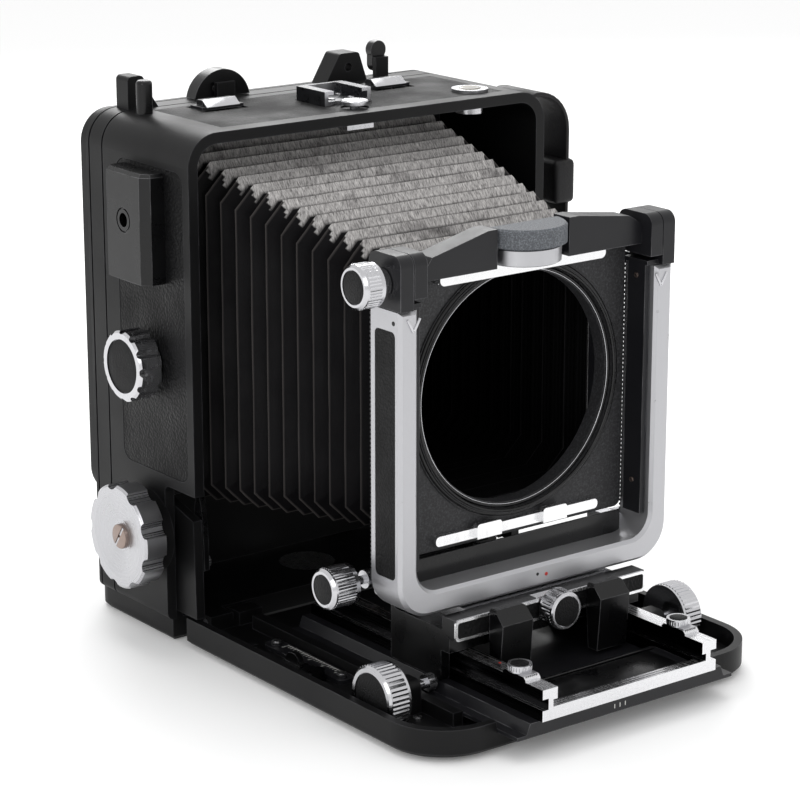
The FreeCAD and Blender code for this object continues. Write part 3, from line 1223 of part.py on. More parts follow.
def main():
    os.makedirs("parts", exist_ok=True)
    for name, shape in nodes().items():
        if not shape.isValid() or shape.Volume <= 0:
            print("not a valid solid:", name)
        shape.exportStep("parts/" + name + ".step")


main()
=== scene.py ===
import bpy
import math
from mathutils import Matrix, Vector


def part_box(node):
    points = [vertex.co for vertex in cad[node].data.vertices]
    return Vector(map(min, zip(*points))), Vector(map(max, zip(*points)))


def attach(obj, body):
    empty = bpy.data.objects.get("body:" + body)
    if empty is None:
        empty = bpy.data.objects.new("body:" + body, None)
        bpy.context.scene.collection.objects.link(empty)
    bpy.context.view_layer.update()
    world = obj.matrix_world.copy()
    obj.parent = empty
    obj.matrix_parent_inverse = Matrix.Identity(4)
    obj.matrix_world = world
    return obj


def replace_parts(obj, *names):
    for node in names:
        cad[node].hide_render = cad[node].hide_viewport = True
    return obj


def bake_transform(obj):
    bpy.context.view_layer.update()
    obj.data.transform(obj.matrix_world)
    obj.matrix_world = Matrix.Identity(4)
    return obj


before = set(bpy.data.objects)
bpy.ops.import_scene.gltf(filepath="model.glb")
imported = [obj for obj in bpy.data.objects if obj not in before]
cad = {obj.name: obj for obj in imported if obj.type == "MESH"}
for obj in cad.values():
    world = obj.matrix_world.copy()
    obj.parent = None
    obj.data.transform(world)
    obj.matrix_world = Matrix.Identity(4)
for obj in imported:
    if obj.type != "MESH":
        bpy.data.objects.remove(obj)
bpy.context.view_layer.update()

# Base ---------------------------------------------------------------------------------------------
# The base is an aluminium casting under satin baked paint, with the tripod bush pressed into it.
# Base, housing, rear frame, revolving back and bed all wear the same paint, rubbed on the arrises.


def tone(code):
    """An sRGB hex colour as the linear colour that the shaders work in."""
    parts = [int(code[i:i + 2], 16) / 255 for i in (1, 3, 5)]
    linear = [c / 12.92 if c <= 0.04045 else ((c + 0.055) / 1.055) ** 2.4 for c in parts]
    return (*linear, 1.0)


def add(tree, kind, values=None, links=None, **settings):
    """One shader node with its settings, its socket values and the sockets that feed it."""
    made = tree.nodes.new(kind)
    for name, value in settings.items():
        setattr(made, name, value)
    for name, value in (values or {}).items():
        made.inputs[name].default_value = value
    for name, source in (links or {}).items():
        tree.links.new(source, made.inputs[name])
    return made


def finish(name, colour, metallic, roughness, **values):
    """A new material and its surface shader, with the steady values set on the shader itself."""
    material = bpy.data.materials.new(name)
    material.use_nodes = True
    shader = material.node_tree.nodes["Principled BSDF"]
    shader.inputs["Base Color"].default_value = tone(colour)
    shader.inputs["Metallic"].default_value = metallic
    shader.inputs["Roughness"].default_value = roughness
    for key, value in values.items():
        shader.inputs[key.replace("_", " ")].default_value = value
    return material, material.node_tree, shader


def blend_colours(tree, factor, dark, light):
    """Two hex colours mixed by a socket."""
    mix = add(tree, "ShaderNodeMix", None, {"Factor": factor}, data_type="RGBA")
    mix.inputs[6].default_value = tone(dark)
    mix.inputs[7].default_value = tone(light)
    return mix.outputs[2]


def span(tree, source, low, high, out_low, out_high):
    """A socket's values stretched from one span to another."""
    limits = {"From Min": low, "From Max": high, "To Min": out_low, "To Max": out_high}
    return add(tree, "ShaderNodeMapRange", limits, {"Value": source}).outputs["Result"]


def place(tree):
    """The piece's own coordinates, in metres."""
    return add(tree, "ShaderNodeTexCoord").outputs["Object"]


def noise(tree, where, scale, detail, rough=0.5):
    """Cloudy noise whose widest patches are one over the scale across, in metres."""
    values = {"Scale": scale, "Detail": detail, "Roughness": rough}
    return add(tree, "ShaderNodeTexNoise", values, {"Vector": where}).outputs["Fac"]


def press(tree, shader, height, strength, depth):
    """Raises a surface by a socket."""
    bump = add(tree, "ShaderNodeBump", {"Strength": strength, "Distance": depth}, {"Height": height})
    tree.links.new(bump.outputs["Normal"], shader.inputs["Normal"])


def dull(tree, shader, source, low, high):
    """Lets a noise wander a surface's roughness between two values."""
    tree.links.new(span(tree, source, 0.3, 0.7, low, high), shader.inputs["Roughness"])


def stain(tree, shader, factor, dark, light):
    """Colours a surface between two hex colours by a socket."""
    tree.links.new(blend_colours(tree, factor, dark, light), shader.inputs["Base Color"])


def worn_edge(tree, radius):
    """One on a rubbed arris, nothing on the flat: how far a rounded normal leaves the true one."""
    round_normal = add(tree, "ShaderNodeBevel", {"Radius": radius}, samples=4).outputs["Normal"]
    true_normal = add(tree, "ShaderNodeNewGeometry").outputs["Normal"]
    dot = add(tree, "ShaderNodeVectorMath", operation="DOT_PRODUCT")
    tree.links.new(round_normal, dot.inputs[0])
    tree.links.new(true_normal, dot.inputs[1])
    return span(tree, dot.outputs["Value"], 0.995, 0.90, 0.0, 1.0)


def satin_black_paint(name, colour, edge, roughness):
    """Baked satin enamel on a casting: a faint orange peel of 0.7 mm, and edges rubbed paler."""
    material, tree, shader = finish(name, colour, 0.0, roughness, Specular_IOR_Level=0.22)
    where = place(tree)
    peel = noise(tree, where, 1400.0, 3.0)
    cloud = noise(tree, where, 28.0, 5.0)
    rub = noise(tree, where, 160.0, 4.0)
    broken = span(tree, rub, 0.35, 0.7, 0.15, 1.0)
    wear = add(tree, "ShaderNodeMath", operation="MULTIPLY")
    tree.links.new(worn_edge(tree, 0.0007), wear.inputs[0])
    tree.links.new(broken, wear.inputs[1])
    stain(tree, shader, wear.outputs[0], colour, edge)
    dull(tree, shader, cloud, roughness - 0.06, roughness + 0.08)
    press(tree, shader, peel, 0.18, 0.00012)
    return material


def wear_finish(material, *names):
    """Gives CAD pieces their material."""
    for name in names:
        mesh = cad[name].data
        mesh.materials.clear()
        mesh.materials.append(material)


housing_paint = satin_black_paint("satin black enamel", "#0B0B0C", "#3A3A3D", 0.46)
wear_finish(housing_paint, "base_plate", "housing_shell", "rear_frame", "revolving_back", "bed_tray")


def brushed_steel(name, colour, roughness, grain):
    """Turned or drawn steel, with fine lines of 0.2 mm along the drawing direction."""
    material, tree, shader = finish(name, colour, 1.0, roughness)
    stretch = add(tree, "ShaderNodeMapping", {"Scale": grain}, {"Vector": place(tree)})
    lines = noise(tree, stretch.outputs["Vector"], 1.0, 4.0)
    dull(tree, shader, lines, roughness - 0.08, roughness + 0.1)
    press(tree, shader, lines, 0.15, 0.00005)
    return material


pin_steel = brushed_steel("turned steel", "#B4B4B6", 0.28, (300.0, 4000.0, 4000.0))
wear_finish(pin_steel, "base_pins", "tripod_bush", "shift_slide")

# Housing ------------------------------------------------------------------------------------------
# Side walls and roof carry leatherette let into shallow fields. It is vinyl pressed with a pebble
# grain about 0.8 mm across; the roof's sheet has the same grain, finer.


def leatherette(name, colour, pebble, depth, roughness):
    """Pressed vinyl: rounded pebbles with painted shade darkening the creases between them, dulled on their
    tops.
    """
    material, tree, shader = finish(name, colour, 0.0, roughness, Specular_IOR_Level=0.2)
    where = place(tree)
    grain = add(
        tree, "ShaderNodeTexVoronoi", {"Scale": 1.0 / pebble}, {"Vector": where}, feature="SMOOTH_F1",
    )
    drift = noise(tree, where, 60.0, 4.0)
    creases = span(tree, grain.outputs["Distance"], 0.15, 0.75, 1.0, 0.0)
    # Painted shade: the colour darkens from each pebble's middle into the creases around it.
    paler = span(tree, grain.outputs["Distance"], 0.0, 0.5, 1.0, 0.0)
    stain(tree, shader, paler, "#040405", colour)
    dull(tree, shader, drift, roughness - 0.08, roughness + 0.1)
    bump = add(tree, "ShaderNodeBump", {"Strength": 0.55, "Distance": depth}, {"Height": creases})
    tree.links.new(bump.outputs["Normal"], shader.inputs["Normal"])
    return material


wall_leather = leatherette("pebbled black leatherette", "#131314", 0.0009, 0.0003, 0.5)
roof_leather = leatherette("fine black leatherette", "#111112", 0.0006, 0.0002, 0.62)
wear_finish(wall_leather, "side_leathers", "leg_leathers", "shift_leather")
wear_finish(roof_leather, "top_leather")

# Small black metalwork ----------------------------------------------------------------------------
# Levers, clamp plates, slides and brackets are milled and sprayed in a deeper, glossier black
# than the castings. The bridge and the rails between the legs are a satin charcoal.


def gloss_black_enamel(name, colour, roughness, coat):
    """Sprayed gloss enamel: smooth, with faint wander in the gloss and bright rubbed corners."""
    material, tree, shader = finish(
        name, colour, 0.0, roughness, Specular_IOR_Level=0.3, Coat_Weight=coat, Coat_Roughness=0.12,
    )
    where = place(tree)
    cloud = noise(tree, where, 90.0, 4.0)
    wear = add(tree, "ShaderNodeMath", operation="MULTIPLY")
    tree.links.new(worn_edge(tree, 0.0004), wear.inputs[0])
    tree.links.new(span(tree, cloud, 0.4, 0.62, 0.0, 0.8), wear.inputs[1])
    stain(tree, shader, wear.outputs[0], colour, "#77777A")
    dull(tree, shader, cloud, roughness - 0.05, roughness + 0.08)
    fine = noise(tree, where, 900.0, 2.0)
    press(tree, shader, fine, 0.08, 0.00008)
    return material


gloss_black = gloss_black_enamel("gloss black enamel", "#060607", 0.28, 0.12)
satin_charcoal = gloss_black_enamel("satin charcoal enamel", "#17171A", 0.38, 0.05)
wear_finish(
    gloss_black, "side_mount", "back_release", "back_lever", "post_button", "clamp_wedge_left",
    "clamp_wedge_right", "carriage", "focus_lock", "bed_struts", "film_slide_top", "film_slide_bottom",
)
wear_finish(
    satin_charcoal, "lens_bridge", "riser", "bellows_rear_frame", "bellows_front_frame",
    "glass_back_frame", "track_base", "front_plate", "focus_scale",
)


def crinkle_enamel(name, colour, grit, fleck):
    """Wrinkle-finish enamel: grit about 0.4 mm across that catches the light as pale flecks."""
    material, tree, shader = finish(name, colour, 0.0, 0.62)
    where = place(tree)
    grains = noise(tree, where, 1.0 / grit, 4.0, 0.7)
    flecks = span(tree, grains, 0.46, 0.72, 0.0, 1.0)
    stain(tree, shader, flecks, colour, fleck)
    press(tree, shader, grains, 0.5, 0.0002)
    return material


panel_crinkle = crinkle_enamel("black crinkle enamel", "#1A1A1C", 0.0008, "#3E3E41")
lock_crinkle = crinkle_enamel("grey crinkle enamel", "#4A4D52", 0.0006, "#7D8186")
wear_finish(panel_crinkle, "lens_panel")
wear_finish(lock_crinkle, "lens_lock")

# Bright metalwork ---------------------------------------------------------------------------------
# Knobs, rails, bars and trim are machined aluminium or nickel plate, polished on the edges; the
# U frame is the same aluminium bead-blasted and clear anodised, with small chips along its front.


def bright_plate(name, colour, roughness):
    """Polished plate: fine wiping marks 0.3 mm wide and a little dullness where it is handled."""
    material, tree, shader = finish(name, colour, 1.0, roughness)
    where = place(tree)
    wiping = add(tree, "ShaderNodeMapping", {"Scale": (900.0, 900.0, 120.0)}, {"Vector": where})
    marks = noise(tree, wiping.outputs["Vector"], 1.0, 5.0)
    haze = noise(tree, where, 120.0, 3.0)
    both = add(tree, "ShaderNodeMath", operation="MULTIPLY")
    tree.links.new(marks, both.inputs[0])
    tree.links.new(haze, both.inputs[1])
    tree.links.new(
        span(tree, both.outputs[0], 0.1, 0.45, roughness - 0.06, roughness + 0.16),
        shader.inputs["Roughness"],
    )
    press(tree, shader, marks, 0.06, 0.00005)
    return material


nickel = bright_plate("polished nickel plate", "#C9C9CC", 0.16)
bar_nickel = bright_plate("bright nickel bar", "#F0F0F1", 0.2)
satin_nickel = bright_plate("satin nickel plate", "#BDBDC0", 0.30)
wear_finish(
    nickel, "mid_knob", "tilt_knob",
    "tilt_lever", "centre_knob", "stop_screw_left", "stop_screw_right", "focus_knobs", "rise_shaft",
    "strap_lugs", "spirit_level", "roof_catch", "track_rails",
)
wear_finish(bar_nickel, "retaining_bars", "shift_trim")


def blasted_aluminium(name, colour):
    """Bead-blasted and anodised: a grain of 0.4 mm, and dark nicks of about a millimetre."""
    material, tree, shader = finish(name, colour, 0.85, 0.42)
    where = place(tree)
    blast = noise(tree, where, 2600.0, 2.0)
    nicks = noise(tree, where, 230.0, 6.0, 0.6)
    nicked = add(tree, "ShaderNodeMath", operation="MULTIPLY")
    tree.links.new(span(tree, nicks, 0.66, 0.70, 0.0, 1.0), nicked.inputs[0])
    tree.links.new(worn_edge(tree, 0.0012), nicked.inputs[1])
    stain(tree, shader, nicked.outputs[0], colour, "#3A3A3C")
    press(tree, shader, blast, 0.15, 0.0001)
    return material


wear_finish(blasted_aluminium("blasted anodised aluminium", "#BDBDC0"), "standard_frame")

# Glass and rubber ---------------------------------------------------------------------------------
# The level's dome is clear glass over amber spirit, the focusing screen is glass ground on one
# side, and the bed's feet are moulded rubber.

amber, amber_tree, amber_shader = finish(
    "amber level glass", "#A09A8C", 0.0, 0.08, IOR=1.5, Coat_Weight=0.3,
)
swirl = noise(amber_tree, place(amber_tree), 250.0, 2.0)
stain(amber_tree, amber_shader, span(amber_tree, swirl, 0.35, 0.65, 0.0, 1.0), "#77736A", "#B0ABA0")
wear_finish(amber, "level_glass")

screen, screen_tree, screen_shader = finish(
    "ground focusing glass", "#B9C1BF", 0.0, 0.55, IOR=1.5, Transmission_Weight=0.35,
)
frost = noise(screen_tree, place(screen_tree), 1800.0, 3.0)
press(screen_tree, screen_shader, frost, 0.2, 0.0001)
wear_finish(screen, "ground_glass")
wear_finish(crinkle_enamel("moulded black rubber", "#101011", 0.0012, "#1E1E1F"), "bed_feet")

# Bellows ------------------------------------------------------------------------------------------
# Seventeen pleats of thin black leathercloth, square with cut corners, glued to the frame in the
# housing and to the one behind the lens panel. It is folded up ring by ring in eight lengths. The light
# that rakes the folds on top is painted into the cloth as a streaky grey sheen, with painted shade in the
# valleys.


def deselect():
    if bpy.context.object and bpy.context.object.mode != "OBJECT":
        bpy.ops.object.mode_set(mode="OBJECT")
    bpy.ops.object.select_all(action="DESELECT")


def settle(piece, name, material):
    """Names a piece, leaves its place in its mesh and gives it its material."""
    deselect()
    piece.name = name
    piece.data.name = name
    piece.select_set(True)
    bpy.context.view_layer.objects.active = piece
    bpy.ops.object.transform_apply(location=True, rotation=True, scale=True)
    piece.data.materials.clear()
    piece.data.materials.append(material)
    return piece


def fitted(piece, name, material, body):
    """Settles a piece, lets it ride on a body and says which finish it wears."""
    settle(piece, name, material)
    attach(piece, body)
    return piece


def modify(piece, kind, **settings):
    """Adds one modifier and applies it."""
    deselect()
    piece.select_set(True)
    bpy.context.view_layer.objects.active = piece
    modifier = piece.modifiers.new(kind.lower(), kind)
    for name, value in settings.items():
        setattr(modifier, name, value)
    bpy.ops.object.modifier_apply(modifier=modifier.name)
    return piece


def leathercloth():
    """Black leathercloth with its light painted in: painted highlights on the ridges, and on top a streaky
    silver painted sheen near each ridge, with painted shade in the valleys.
    """
    material, tree, shader = finish(
        "black bellows leathercloth", "#0B0A0C", 0.0, 0.55, Specular_IOR_Level=0.12,
    )
    where = place(tree)
    # fold runs from 0 in a valley to 1 on a ridge and roof is 1 on top of the bellows; the painted light
    # and shade follow them.
    fold = add(tree, "ShaderNodeAttribute", attribute_name="fold").outputs["Fac"]
    roof = add(tree, "ShaderNodeAttribute", attribute_name="roof").outputs["Fac"]
    along = add(tree, "ShaderNodeMapping", {"Scale": (1900.0, 420.0, 420.0)}, {"Vector": where})
    streaks = noise(tree, along.outputs["Vector"], 1.0, 7.0, 0.72)
    blotches = noise(tree, where, 60.0, 6.0, 0.6)
    grain = noise(tree, where, 900.0, 3.0)
    # Painted sheen: streaky silver for the light that rakes the top, broken by darker blotches.
    silver = blend_colours(tree, span(tree, streaks, 0.32, 0.66, 0.0, 1.0), "#4E4C4C", "#D4D1CF")
    painted_sheen_blotched = add(
        tree, "ShaderNodeMix", None, {"Factor": span(tree, blotches, 0.56, 0.74, 0.0, 0.8)},
        data_type="RGBA",
    )
    tree.links.new(silver, painted_sheen_blotched.inputs[6])
    painted_sheen_blotched.inputs[7].default_value = tone("#2A2728")
    # Painted highlight: off the top the cloth is near-black, painted paler towards each ridge.
    side = blend_colours(tree, span(tree, fold, 0.88, 0.99, 0.0, 1.0), "#070608", "#3E3B3A")
    # Painted light and shade on top: the sheen near each ridge, painted shade down in each valley.
    lit = add(tree, "ShaderNodeMath", operation="MULTIPLY")
    tree.links.new(span(tree, roof, 0.55, 0.95, 0.0, 1.0), lit.inputs[0])
    tree.links.new(span(tree, fold, 0.42, 0.58, 0.0, 1.0), lit.inputs[1])
    cloth = add(tree, "ShaderNodeMix", None, {"Factor": lit.outputs[0]}, data_type="RGBA")
    tree.links.new(side, cloth.inputs[6])
    tree.links.new(painted_sheen_blotched.outputs[2], cloth.inputs[7])
    tree.links.new(cloth.outputs[2], shader.inputs["Base Color"])
    dull(tree, shader, blotches, 0.45, 0.68)
    height = add(tree, "ShaderNodeMath", operation="ADD")
    tree.links.new(grain, height.inputs[0])
    tree.links.new(streaks, height.inputs[1])
    press(tree, shader, height.outputs[0], 0.25, 0.00015)
    return material


def cloth_lining():
    """The lining inside the folds: a dead-black cotton with a weave of 0.5 mm."""
    material, tree, shader = finish("black cotton lining", "#050505", 0.0, 0.9, Specular_IOR_Level=0.05)
    weave = add(
        tree, "ShaderNodeTexWave", {"Scale": 320.0, "Distortion": 2.0, "Detail": 2.0},
        {"Vector": place(tree)},
    )
    stain(tree, shader, weave.outputs["Fac"], "#030303", "#0A0A0B")
    press(tree, shader, weave.outputs["Fac"], 0.3, 0.0002)
    return material


bellows_cloth = leathercloth()
lining = cloth_lining()
bellows_rear_end = 0.014
bellows_front_end = -0.115
bellows_pleats = 17
bellows_pitch = (bellows_rear_end - bellows_front_end) / bellows_pleats
fold_depth = 0.0052


def bellows_size(y):
    """Half the width of the bellows at a ridge, and the height of its middle."""
    share = (bellows_rear_end - y) / (bellows_rear_end - bellows_front_end)
    return 0.0695 + share * (0.0487 - 0.0695), 0.116 + share * (0.108 - 0.116)


def pleated_length(name, first, pleats):
    """One length of bellows: an eight-sided ring pulled forward from fold to fold."""
    deselect()
    bpy.ops.mesh.primitive_circle_add(vertices=8, radius=1.0, rotation=(math.pi / 2, 0.0, 0.0))
    piece = bpy.context.object
    bpy.ops.object.transform_apply(location=True, rotation=True, scale=True)
    y = bellows_rear_end - first * bellows_pitch
    half, middle = bellows_size(y)
    half -= fold_depth
    corner = half - 0.008
    for vertex in piece.data.vertices:
        x, z = vertex.co.x, vertex.co.z
        turn = round(math.degrees(math.atan2(z, x)) / 45) % 8
        spots = ((half, corner), (corner, half), (-corner, half), (-half, corner),
                 (-half, -corner), (-corner, -half), (corner, -half), (half, -corner))
        vertex.co = (spots[turn][0], y, middle + spots[turn][1])
    bpy.ops.object.mode_set(mode="EDIT")
    bpy.ops.mesh.select_all(action="SELECT")
    for step in range(2 * pleats):
        new_y = y - bellows_pitch / 2
        new_half, new_middle = bellows_size(new_y)
        new_half -= fold_depth if step % 2 else 0.0
        bpy.ops.mesh.extrude_region_move(
            TRANSFORM_OT_translate={"value": (0.0, new_y - y, new_middle - middle)}
        )
        size = new_half / half
        bpy.ops.transform.resize(value=(size, 1.0, size), center_override=(0.0, new_y, new_middle))
        y, half, middle = new_y, new_half, new_middle
    bpy.ops.mesh.select_all(action="SELECT")
    bpy.ops.mesh.subdivide(number_cuts=7)
    bpy.ops.mesh.normals_make_consistent(inside=False)
    bpy.ops.object.mode_set(mode="OBJECT")
    # fold marks each vertex's place from valley (0) to ridge (1), and roof marks the top of the bellows:
    # the cloth paints its sheen and shade by them.
    fold = piece.data.attributes.new("fold", "FLOAT", "POINT")
    roof = piece.data.attributes.new("roof", "FLOAT", "POINT")
    for vertex in piece.data.vertices:
        phase = ((bellows_rear_end - vertex.co.y) / bellows_pitch) % 1.0
        fold.data[vertex.index].value = 1.0 - abs(2.0 * phase - 1.0)
        local_half, local_middle = bellows_size(vertex.co.y)
        topside = vertex.co.z - local_middle > local_half - 1.6 * fold_depth and abs(
            vertex.co.x
        ) < local_half - 0.007
        roof.data[vertex.index].value = 1.0 if topside else 0.0
    creases = bpy.data.textures.new(name + "_creases", "CLOUDS")
    creases.noise_scale = 0.009
    creases.noise_depth = 3
    start_y = bellows_rear_end - first * bellows_pitch
    between = [v.index for v in piece.data.vertices if start_y - 0.0003 > v.co.y > y + 0.0003]
    piece.vertex_groups.new(name="between ends").add(between, 1.0, "ADD")
    modify(
        piece, "DISPLACE", texture=creases, texture_coords="LOCAL", strength=0.0007, mid_level=0.62,
        vertex_group="between ends",
    )
    piece.data.materials.append(bellows_cloth)
    piece.data.materials.append(lining)
    modify(piece, "SOLIDIFY", thickness=0.0005, offset=-1.0, material_offset=1)
    deselect()
    piece.select_set(True)
    bpy.context.view_layer.objects.active = piece
    bpy.ops.object.shade_smooth_by_angle(angle=math.radians(45))
    piece.name = name
    piece.data.name = name
    return piece


bellows_run = (
    ("bellows_behind_base", "housing", "base", 1, "bellows_rear"),
    ("bellows_over_base", "base", "bed", 1, "bellows_rear"),
    ("bellows_over_hinge", "bed", "track", 2, "bellows_middle"),
    ("bellows_open_run", "track", "carriage", 6, "bellows_middle"),
    ("bellows_over_carriage", "carriage", "cross_slide", 1, "bellows_middle"),
    ("bellows_behind_standard", "cross_slide", "standard", 2, "bellows_front"),
    ("bellows_behind_legs", "standard", "riser", 2, "bellows_front"),
    ("bellows_at_lens_frame", "riser", "lens_frame", 2, "bellows_front"),
)
made_pleats = 0
for length_name, behind, ahead, pleat_count, cad_tube in bellows_run:
    length = pleated_length(length_name, made_pleats, pleat_count)
    made_pleats += pleat_count
    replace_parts(length, cad_tube)
    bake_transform(length)

# Carrying strap -----------------------------------------------------------------------------------
# A flat bridle-leather strap 24 mm wide stands off the right wall in a D between its two lugs. A
# stitched sleeve of the same hide slides on it, and waxed thread runs along both edges.

strap_low, strap_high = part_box("handle_strap")
strap_middle = (strap_low[2] + strap_high[2]) / 2
strap_y = -0.023
strap_bend, strap_half_width = 0.015, 0.0117
strap_wall, strap_out = 0.0831, 0.1020
strap_rise = (strap_high[2] - strap_low[2]) / 2 - 0.001
strap_end, lug_pass, strap_turn = 0.022, 0.0148, 0.003
to_turn = strap_end + lug_pass + strap_turn


def bridle_leather():
    """Vegetable-tanned leather, dyed black: a fine hair-cell grain and burnished, paler edges."""
    material, tree, shader = finish("black bridle leather", "#0F0E10", 0.0, 0.48, Specular_IOR_Level=0.3)
    where = place(tree)
    cells = add(tree, "ShaderNodeTexVoronoi", {"Scale": 1400.0}, {"Vector": where}, feature="SMOOTH_F1")
    cloud = noise(tree, where, 90.0, 7.0, 0.65)
    wear = add(tree, "ShaderNodeMath", operation="MAXIMUM")
    tree.links.new(span(tree, cloud, 0.60, 0.72, 0.0, 0.6), wear.inputs[0])
    tree.links.new(worn_edge(tree, 0.0006), wear.inputs[1])
    stain(tree, shader, wear.outputs[0], "#121113", "#3C3935")
    dull(tree, shader, cloud, 0.38, 0.6)
    press(tree, shader, cells.outputs["Distance"], 0.4, 0.00015)
    return material


strap_leather = bridle_leather()
# The strap is one strip: each step pulls its free edge on, round a bend or along a straight.
deselect()
bpy.ops.mesh.primitive_plane_add(size=1.0, location=(strap_wall, strap_y, strap_middle - strap_end))
strap = bpy.context.object
strap.scale = (0.0017, strap_half_width, 1.0)
bpy.ops.object.transform_apply(location=True, rotation=True, scale=True)
bpy.ops.object.mode_set(mode="EDIT")
bpy.ops.mesh.select_all(action="SELECT")
lower_z, upper_z = strap_middle - strap_rise, strap_middle + strap_rise
bpy.ops.mesh.extrude_region_move(TRANSFORM_OT_translate={"value": (0.0, 0.0, -lug_pass)})
bpy.ops.mesh.extrude_region_move(
    TRANSFORM_OT_translate={"value": (0.0, 0.0, lower_z - strap_middle + to_turn)}
)
bpy.ops.transform.resize(value=(1.0, 2.0, 1.0), center_override=(strap_wall, strap_y, lower_z + strap_turn))
for turning, turn_x, turn_z in (
    (3, strap_wall + strap_turn, lower_z + strap_turn),
    (9, strap_out - strap_bend, lower_z + strap_bend),
    (9, strap_out - strap_bend, upper_z - strap_bend),
    (3, strap_wall + strap_turn, upper_z - strap_turn),
):
    bpy.ops.mesh.spin(
        steps=turning, angle=math.pi / 2, center=(turn_x, strap_y, turn_z), axis=(0.0, 1.0, 0.0),
    )
    if turning == 9 and turn_z < strap_middle:
        bpy.ops.mesh.extrude_region_move(
            TRANSFORM_OT_translate={"value": (0.0, 0.0, 2 * (strap_rise - strap_bend))}
        )
    elif turning == 9 or turn_z < strap_middle:
        reach = strap_out - strap_bend - strap_wall - strap_turn
        bpy.ops.mesh.extrude_region_move(
            TRANSFORM_OT_translate={"value": (reach if turn_z < strap_middle else -reach, 0.0, 0.0)}
        )
bpy.ops.mesh.extrude_region_move(
    TRANSFORM_OT_translate={"value": (0.0, 0.0, strap_middle + to_turn - upper_z)}
)
bpy.ops.transform.resize(value=(1.0, 0.5, 1.0), center_override=(strap_wall, strap_y, strap_middle))
bpy.ops.mesh.extrude_region_move(TRANSFORM_OT_translate={"value": (0.0, 0.0, -lug_pass)})
bpy.ops.mesh.select_all(action="SELECT")
bpy.ops.mesh.remove_doubles(threshold=0.00001)
bpy.ops.mesh.normals_make_consistent(inside=False)
bpy.ops.object.mode_set(mode="OBJECT")
modify(strap, "BEVEL", width=0.0005, segments=3, limit_method="ANGLE", angle_limit=math.radians(60))
bpy.ops.object.shade_smooth_by_angle(angle=math.radians(40))
settle(strap, "strap_band", strap_leather)
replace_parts(strap, "handle_strap")
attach(strap, "housing")

deselect()
bpy.ops.mesh.primitive_cube_add(size=1.0, location=(0.1003, strap_y, strap_middle + 0.012))
sleeve = bpy.context.object
sleeve.scale = (0.0104, 0.0256, 0.0174)
bpy.ops.object.transform_apply(location=False, rotation=False, scale=True)
modify(sleeve, "BEVEL", width=0.0022, segments=4)
bpy.ops.object.shade_smooth_by_angle(angle=math.radians(40))
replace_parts(settle(sleeve, "strap_sleeve", strap_leather), "handle_strap")
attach(sleeve, "housing")

thread, thread_tree, thread_shader = finish("waxed black thread", "#2A282B", 0.0, 0.6)
ply = add(
    thread_tree, "ShaderNodeTexWave", {"Scale": 900.0, "Distortion": 1.0}, {"Vector": place(thread_tree)},
)
press(thread_tree, thread_shader, ply.outputs["Fac"], 0.5, 0.0001)
for row in ("front", "rear"):
    deselect()
    bpy.ops.mesh.primitive_uv_sphere_add(
        segments=8, ring_count=6, radius=1.0, scale=(0.0003, 0.0003, 0.0011),
        location=(
            strap_out + 0.0009, strap_y + (-0.0095 if row == "front" else 0.0095), strap_middle - 0.028,
        ),
    )
    stitch = bpy.context.object
    bpy.ops.object.transform_apply(location=False, rotation=False, scale=True)
    modify(
        stitch, "ARRAY", count=10, use_relative_offset=False, use_constant_offset=True,
        constant_offset_displace=(0.0, 0.0, 0.0032),
    )
    bpy.ops.object.shade_smooth()
    fitted(stitch, "strap_stitches_" + row, thread, "housing")

# Knobs --------------------------------------------------------------------------------------------
# The small knobs are turned aluminium with a straight-knurled rim and a disc of leatherette let into
# the face. The big lock knobs are scalloped and dished, with a slotted screw in the middle.


def turned_to(axis):
    """The turn that stands a new cylinder's own axis along X, Y or Z."""
    return {"X": (0.0, math.pi / 2, 0.0), "Y": (math.pi / 2, 0.0, 0.0), "Z": (0.0, 0.0, 0.0)}[axis]


def along(centre, axis, distance):
    """A place moved along X, Y or Z."""
    moved = Vector(centre)
    moved["XYZ".index(axis)] += distance
    return moved


def knurled_rim(name, body, centre, axis, radius, width, teeth, depth, material):
    """A band of straight knurling: every other edge of a cylinder is drawn in towards the axis."""
    deselect()
    bpy.ops.mesh.primitive_cylinder_add(vertices=2 * teeth, radius=radius, depth=width)
    band = bpy.context.object
    for vertex in band.data.vertices:
        angle = math.atan2(vertex.co.y, vertex.co.x) * teeth / math.pi
        if round(angle) % 2:
            vertex.co.x *= 1.0 - depth / radius
            vertex.co.y *= 1.0 - depth / radius
    bpy.ops.object.mode_set(mode="EDIT")
    bpy.ops.mesh.select_all(action="DESELECT")
    bpy.ops.mesh.select_mode(type="FACE")
    bpy.ops.object.mode_set(mode="OBJECT")
    for face in band.data.polygons:
        face.select = abs(face.normal.z) > 0.9
    bpy.ops.object.mode_set(mode="EDIT")
    bpy.ops.mesh.inset(thickness=0.0006, depth=0.0, use_individual=True)
    bpy.ops.transform.resize(value=(1.0, 1.0, (width + 0.0006) / width))
    bpy.ops.object.mode_set(mode="OBJECT")
    band.rotation_euler = turned_to(axis)
    band.location = centre
    return fitted(band, name, material, body)


